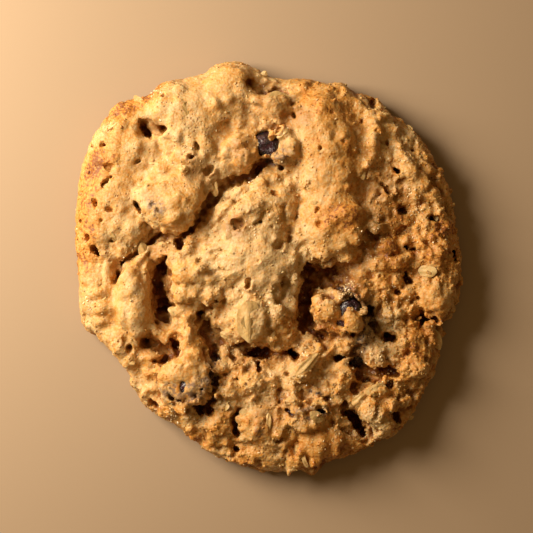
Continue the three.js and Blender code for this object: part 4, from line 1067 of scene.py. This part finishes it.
def baked_finish(name):
    """Baked dough, coloured by how brown and stained each point is, with painted shade in gaps, hollows and
    crevices, and glossier on glazed spots and in hollows.
    """
    material, tree, shader = start_material(name)
    place = add(tree, "ShaderNodeTexCoord").outputs["Object"]
    grain = add(tree, "ShaderNodeGroup", {"Place": place}, node_tree=GRAIN)
    marks = {}
    for attribute in ("browning", "broken", "gap", "hollow", "depth", "film", "flank"):
        marks[attribute] = add(tree, "ShaderNodeAttribute", attribute_name=attribute).outputs["Fac"]
    tone = blotchy(tree, marks["browning"], place, CRUST_BLOTCHES)
    stops = [(0.0, CREAM), (0.30, STRAW), (0.55, GOLDEN), (0.82, ORANGE), (1.0, BROWN)]
    colour = tones(tree, tone, stops)
    colour = mix_colour(tree, sums(tree, "MULTIPLY", grain.outputs["Flecks"], 0.35), colour, OAT)
    # Painted shade: the bump's tiny pores are coloured dark brown, as shade would fall in them.
    colour = mix_colour(tree, sums(tree, "MULTIPLY", grain.outputs["Pores"], 0.7), colour, BROWN)
    patchy = ease(tree, noise(tree, place, 1.1, 3.0, 0.5), 0.42, 0.60)
    stain = sums(tree, "MULTIPLY", sums(tree, "MULTIPLY", marks["film"], patchy), 0.75)
    colour = mix_colour(tree, stain, colour, STAIN)
    skin = ease(tree, noise(tree, place, 0.8, 3.0, 0.8), 0.38, 0.62, 0.35, 1.0)
    colour = mix_colour(tree, sums(tree, "MULTIPLY", marks["flank"], skin), colour, RAISIN_FLANK)
    # Painted shade between lumps, in hollows and in crevices.
    for attribute, shade in PAINTED_SHADES.items():
        colour = mix_colour(tree, marks[attribute], colour, shade, "MULTIPLY")
    tree.links.new(colour, shader.inputs["Base Color"])
    glaze = ease(tree, noise(tree, place, 1.0, 2.0), 0.50, 0.66)
    sheen = sums(tree, "MULTIPLY", glaze, ease(tree, marks["broken"], 0.3, 0.8, 0.25, 1.0))
    sheen = sums(tree, "MAXIMUM", sheen, sums(tree, "MULTIPLY", marks["hollow"], 0.6))
    tree.links.new(ease(tree, sheen, 0.0, 1.0, 0.62, 0.26), shader.inputs["Roughness"])
    crisp = ease(tree, marks["broken"], 0.2, 0.9, 0.7, 1.0)
    set_bump(tree, shader, grain.outputs["Height"], crisp, 0.25)
    set_plain(shader, {
        "Subsurface Weight": 0.34,
        "Subsurface Radius": (1.0, 0.5, 0.22),
        "Subsurface Scale": 1.1 * MM,
    })
    return material


def oat_finish():
    """Bare oat flake: pale, streaked with bran, and a little glossy."""
    material, tree, shader = start_material("oat_flake")
    place = add(tree, "ShaderNodeTexCoord").outputs["Object"]
    tone = blotchy(tree, OAT_TONE, place, OAT_BLOTCHES)
    colour = tones(tree, tone, [(0.0, OAT_PALE), (0.45, OAT), (1.0, OAT_BRAN)])
    tree.links.new(colour, shader.inputs["Base Color"])
    set_bump(tree, shader, noise(tree, place, 0.5), 0.7, 0.2)
    set_plain(shader, {
        "Roughness": 0.5,
        "Subsurface Weight": 0.2,
        "Subsurface Radius": (1.0, 0.5, 0.2),
        "Subsurface Scale": 1.1 * MM,
    })
    return material


def sugar_finish():
    """Sugar and hardened syrup: amber and glossy."""
    material, tree, shader = start_material("sugar_grain")
    place = add(tree, "ShaderNodeTexCoord").outputs["Object"]
    colour = mix_colour(tree, ease(tree, noise(tree, place, 0.8, 1.0), 0.4, 0.6), SYRUP_PALE, SYRUP)
    tree.links.new(colour, shader.inputs["Base Color"])
    set_plain(shader, {"Roughness": 0.12, "Coat Weight": 0.6})
    return material


def raisin_finish():
    """Raisin skin: near black with red in it, dusted with dough, folded and glossy."""
    material, tree, shader = start_material("raisin_skin")
    place = add(tree, "ShaderNodeTexCoord").outputs["Object"]
    colour = mix_colour(tree, ease(tree, noise(tree, place, 1.6), 0.35, 0.65), RAISIN_BLACK, RAISIN_RED)
    dust = ease(tree, noise(tree, place, 0.9, 4.0, 0.6), 0.55, 0.72, 0.0, 0.35)
    colour = mix_colour(tree, dust, colour, STAIN)
    tree.links.new(colour, shader.inputs["Base Color"])
    set_bump(tree, shader, noise(tree, place, 0.7, 4.0, 1.2), 0.9, 0.35)
    set_plain(shader, {"Roughness": 0.26, "Coat Weight": 0.3})
    return material


def make_raisin(name, skin):
    """A shrivelled raisin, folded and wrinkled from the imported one's size and place."""
    bpy.ops.object.select_all(action="DESELECT")
    bpy.ops.mesh.primitive_ico_sphere_add(subdivisions=6, radius=1)
    raisin = bpy.context.object
    raisin.name = name + "_skin"
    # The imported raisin's middle, its three axes, and how far it reaches along each.
    spots = points_of(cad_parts[name])
    middle = spots.mean(axis=0)
    turn, _, _ = np.linalg.svd((spots - middle).T @ (spots - middle))
    if np.linalg.det(turn) < 0:
        turn[:, 2] *= -1
    reach = np.abs((spots - middle) @ turn).max(axis=0)
    # Folds and finer wrinkles, both drawn out along the longest axis.
    points = points_of(raisin)
    ridges = 1 - np.abs(cloud(points * (0.6, 1, 1), 0.42, len(name)))
    fine = 1 - np.abs(cloud(points * (0.5, 1, 1), 0.2, len(name) + 3))
    radius = 0.78 + 0.17 * ridges + 0.07 * fine
    put_points(raisin, (points * radius[:, None] * reach) @ turn.T + middle)
    pick(raisin)
    bpy.ops.object.shade_smooth()
    finish_piece(raisin, skin)
    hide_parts(name)


# ---------------------------------------------------------------- studio

FLOOR_COLOUR = (0.415, 0.295, 0.187, 1)
KEY_PLACE = (-0.197, 0.098, 0.146)
KEY_SIZE = 0.15
KEY_ENERGY = 1.51
KEY_COLOUR = (1.0, 0.87, 0.70)
ROOM_COLOUR = (1.0, 0.64, 0.255, 1)
ROOM_STRENGTH = 0.158
LENS = 85
SENSOR = 36
VIEW_WIDTH = 122.6 * MM  # what the camera takes in, from side to side, at the height below
VIEW_HEIGHT = 4 * MM
VIEW_MIDDLE = (-0.35 * MM, 0.45 * MM)


def make_studio():
    """A pale floor, one soft lamp at the far left, a faint warm room, and the camera overhead."""
    bpy.ops.mesh.primitive_plane_add(size=3, location=(0, 0, 0))
    floor = bpy.context.object
    floor.name = "floor"
    paper, _, shader = start_material("pale_floor")
    set_plain(shader, {"Base Color": FLOOR_COLOUR, "Roughness": 0.85})
    floor.data.materials.append(paper)

    key = bpy.data.lights.new("key", "AREA")
    key.size = KEY_SIZE
    key.energy = KEY_ENERGY
    key.color = KEY_COLOUR
    lamp = bpy.data.objects.new("key", key)
    bpy.context.collection.objects.link(lamp)
    lamp.location = KEY_PLACE
    lamp.rotation_euler = (-lamp.location).to_track_quat("-Z", "Y").to_euler()

    world = bpy.data.worlds.new("room")
    bpy.context.scene.world = world
    world.use_nodes = True
    set_plain(world.node_tree.nodes["Background"], {"Color": ROOM_COLOUR, "Strength": ROOM_STRENGTH})

    eye = bpy.data.cameras.new("eye")
    eye.lens = LENS
    eye.sensor_width = SENSOR
    camera = bpy.data.objects.new("eye", eye)
    bpy.context.collection.objects.link(camera)
    camera.location = (*VIEW_MIDDLE, VIEW_HEIGHT + VIEW_WIDTH * LENS / SENSOR)
    bpy.context.scene.camera = camera
    bpy.context.scene.view_settings.view_transform = "Standard"


# ---------------------------------------------------------------- the cookie

make_studio()
baked = baked_finish("baked_dough")
crust = make_dough()
pick(crust)
bpy.ops.object.shade_smooth()
crust.data.polygons.foreach_set("use_smooth", faces_of(crust)[1][:, 2] > FLAT_UNDERSIDE)
ground = points_of(crust) / MM
mark_baked(crust, ground)
finish_piece(crust, baked)
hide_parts("dough")

rng = random.Random(7)
crumbs = make_crumbs(crust, rng)
pick(crumbs)
bpy.ops.object.shade_smooth()
mark_baked(crumbs, ground)
oats = make_oats(crust, rng)
sugar = make_sugar(crust, rng)
for piece, material in ((crumbs, baked), (oats, oat_finish()), (sugar, sugar_finish())):
    settle(piece)
    finish_piece(piece, material)
skin = raisin_finish()
for name in RAISINS:
    make_raisin(name, skin)
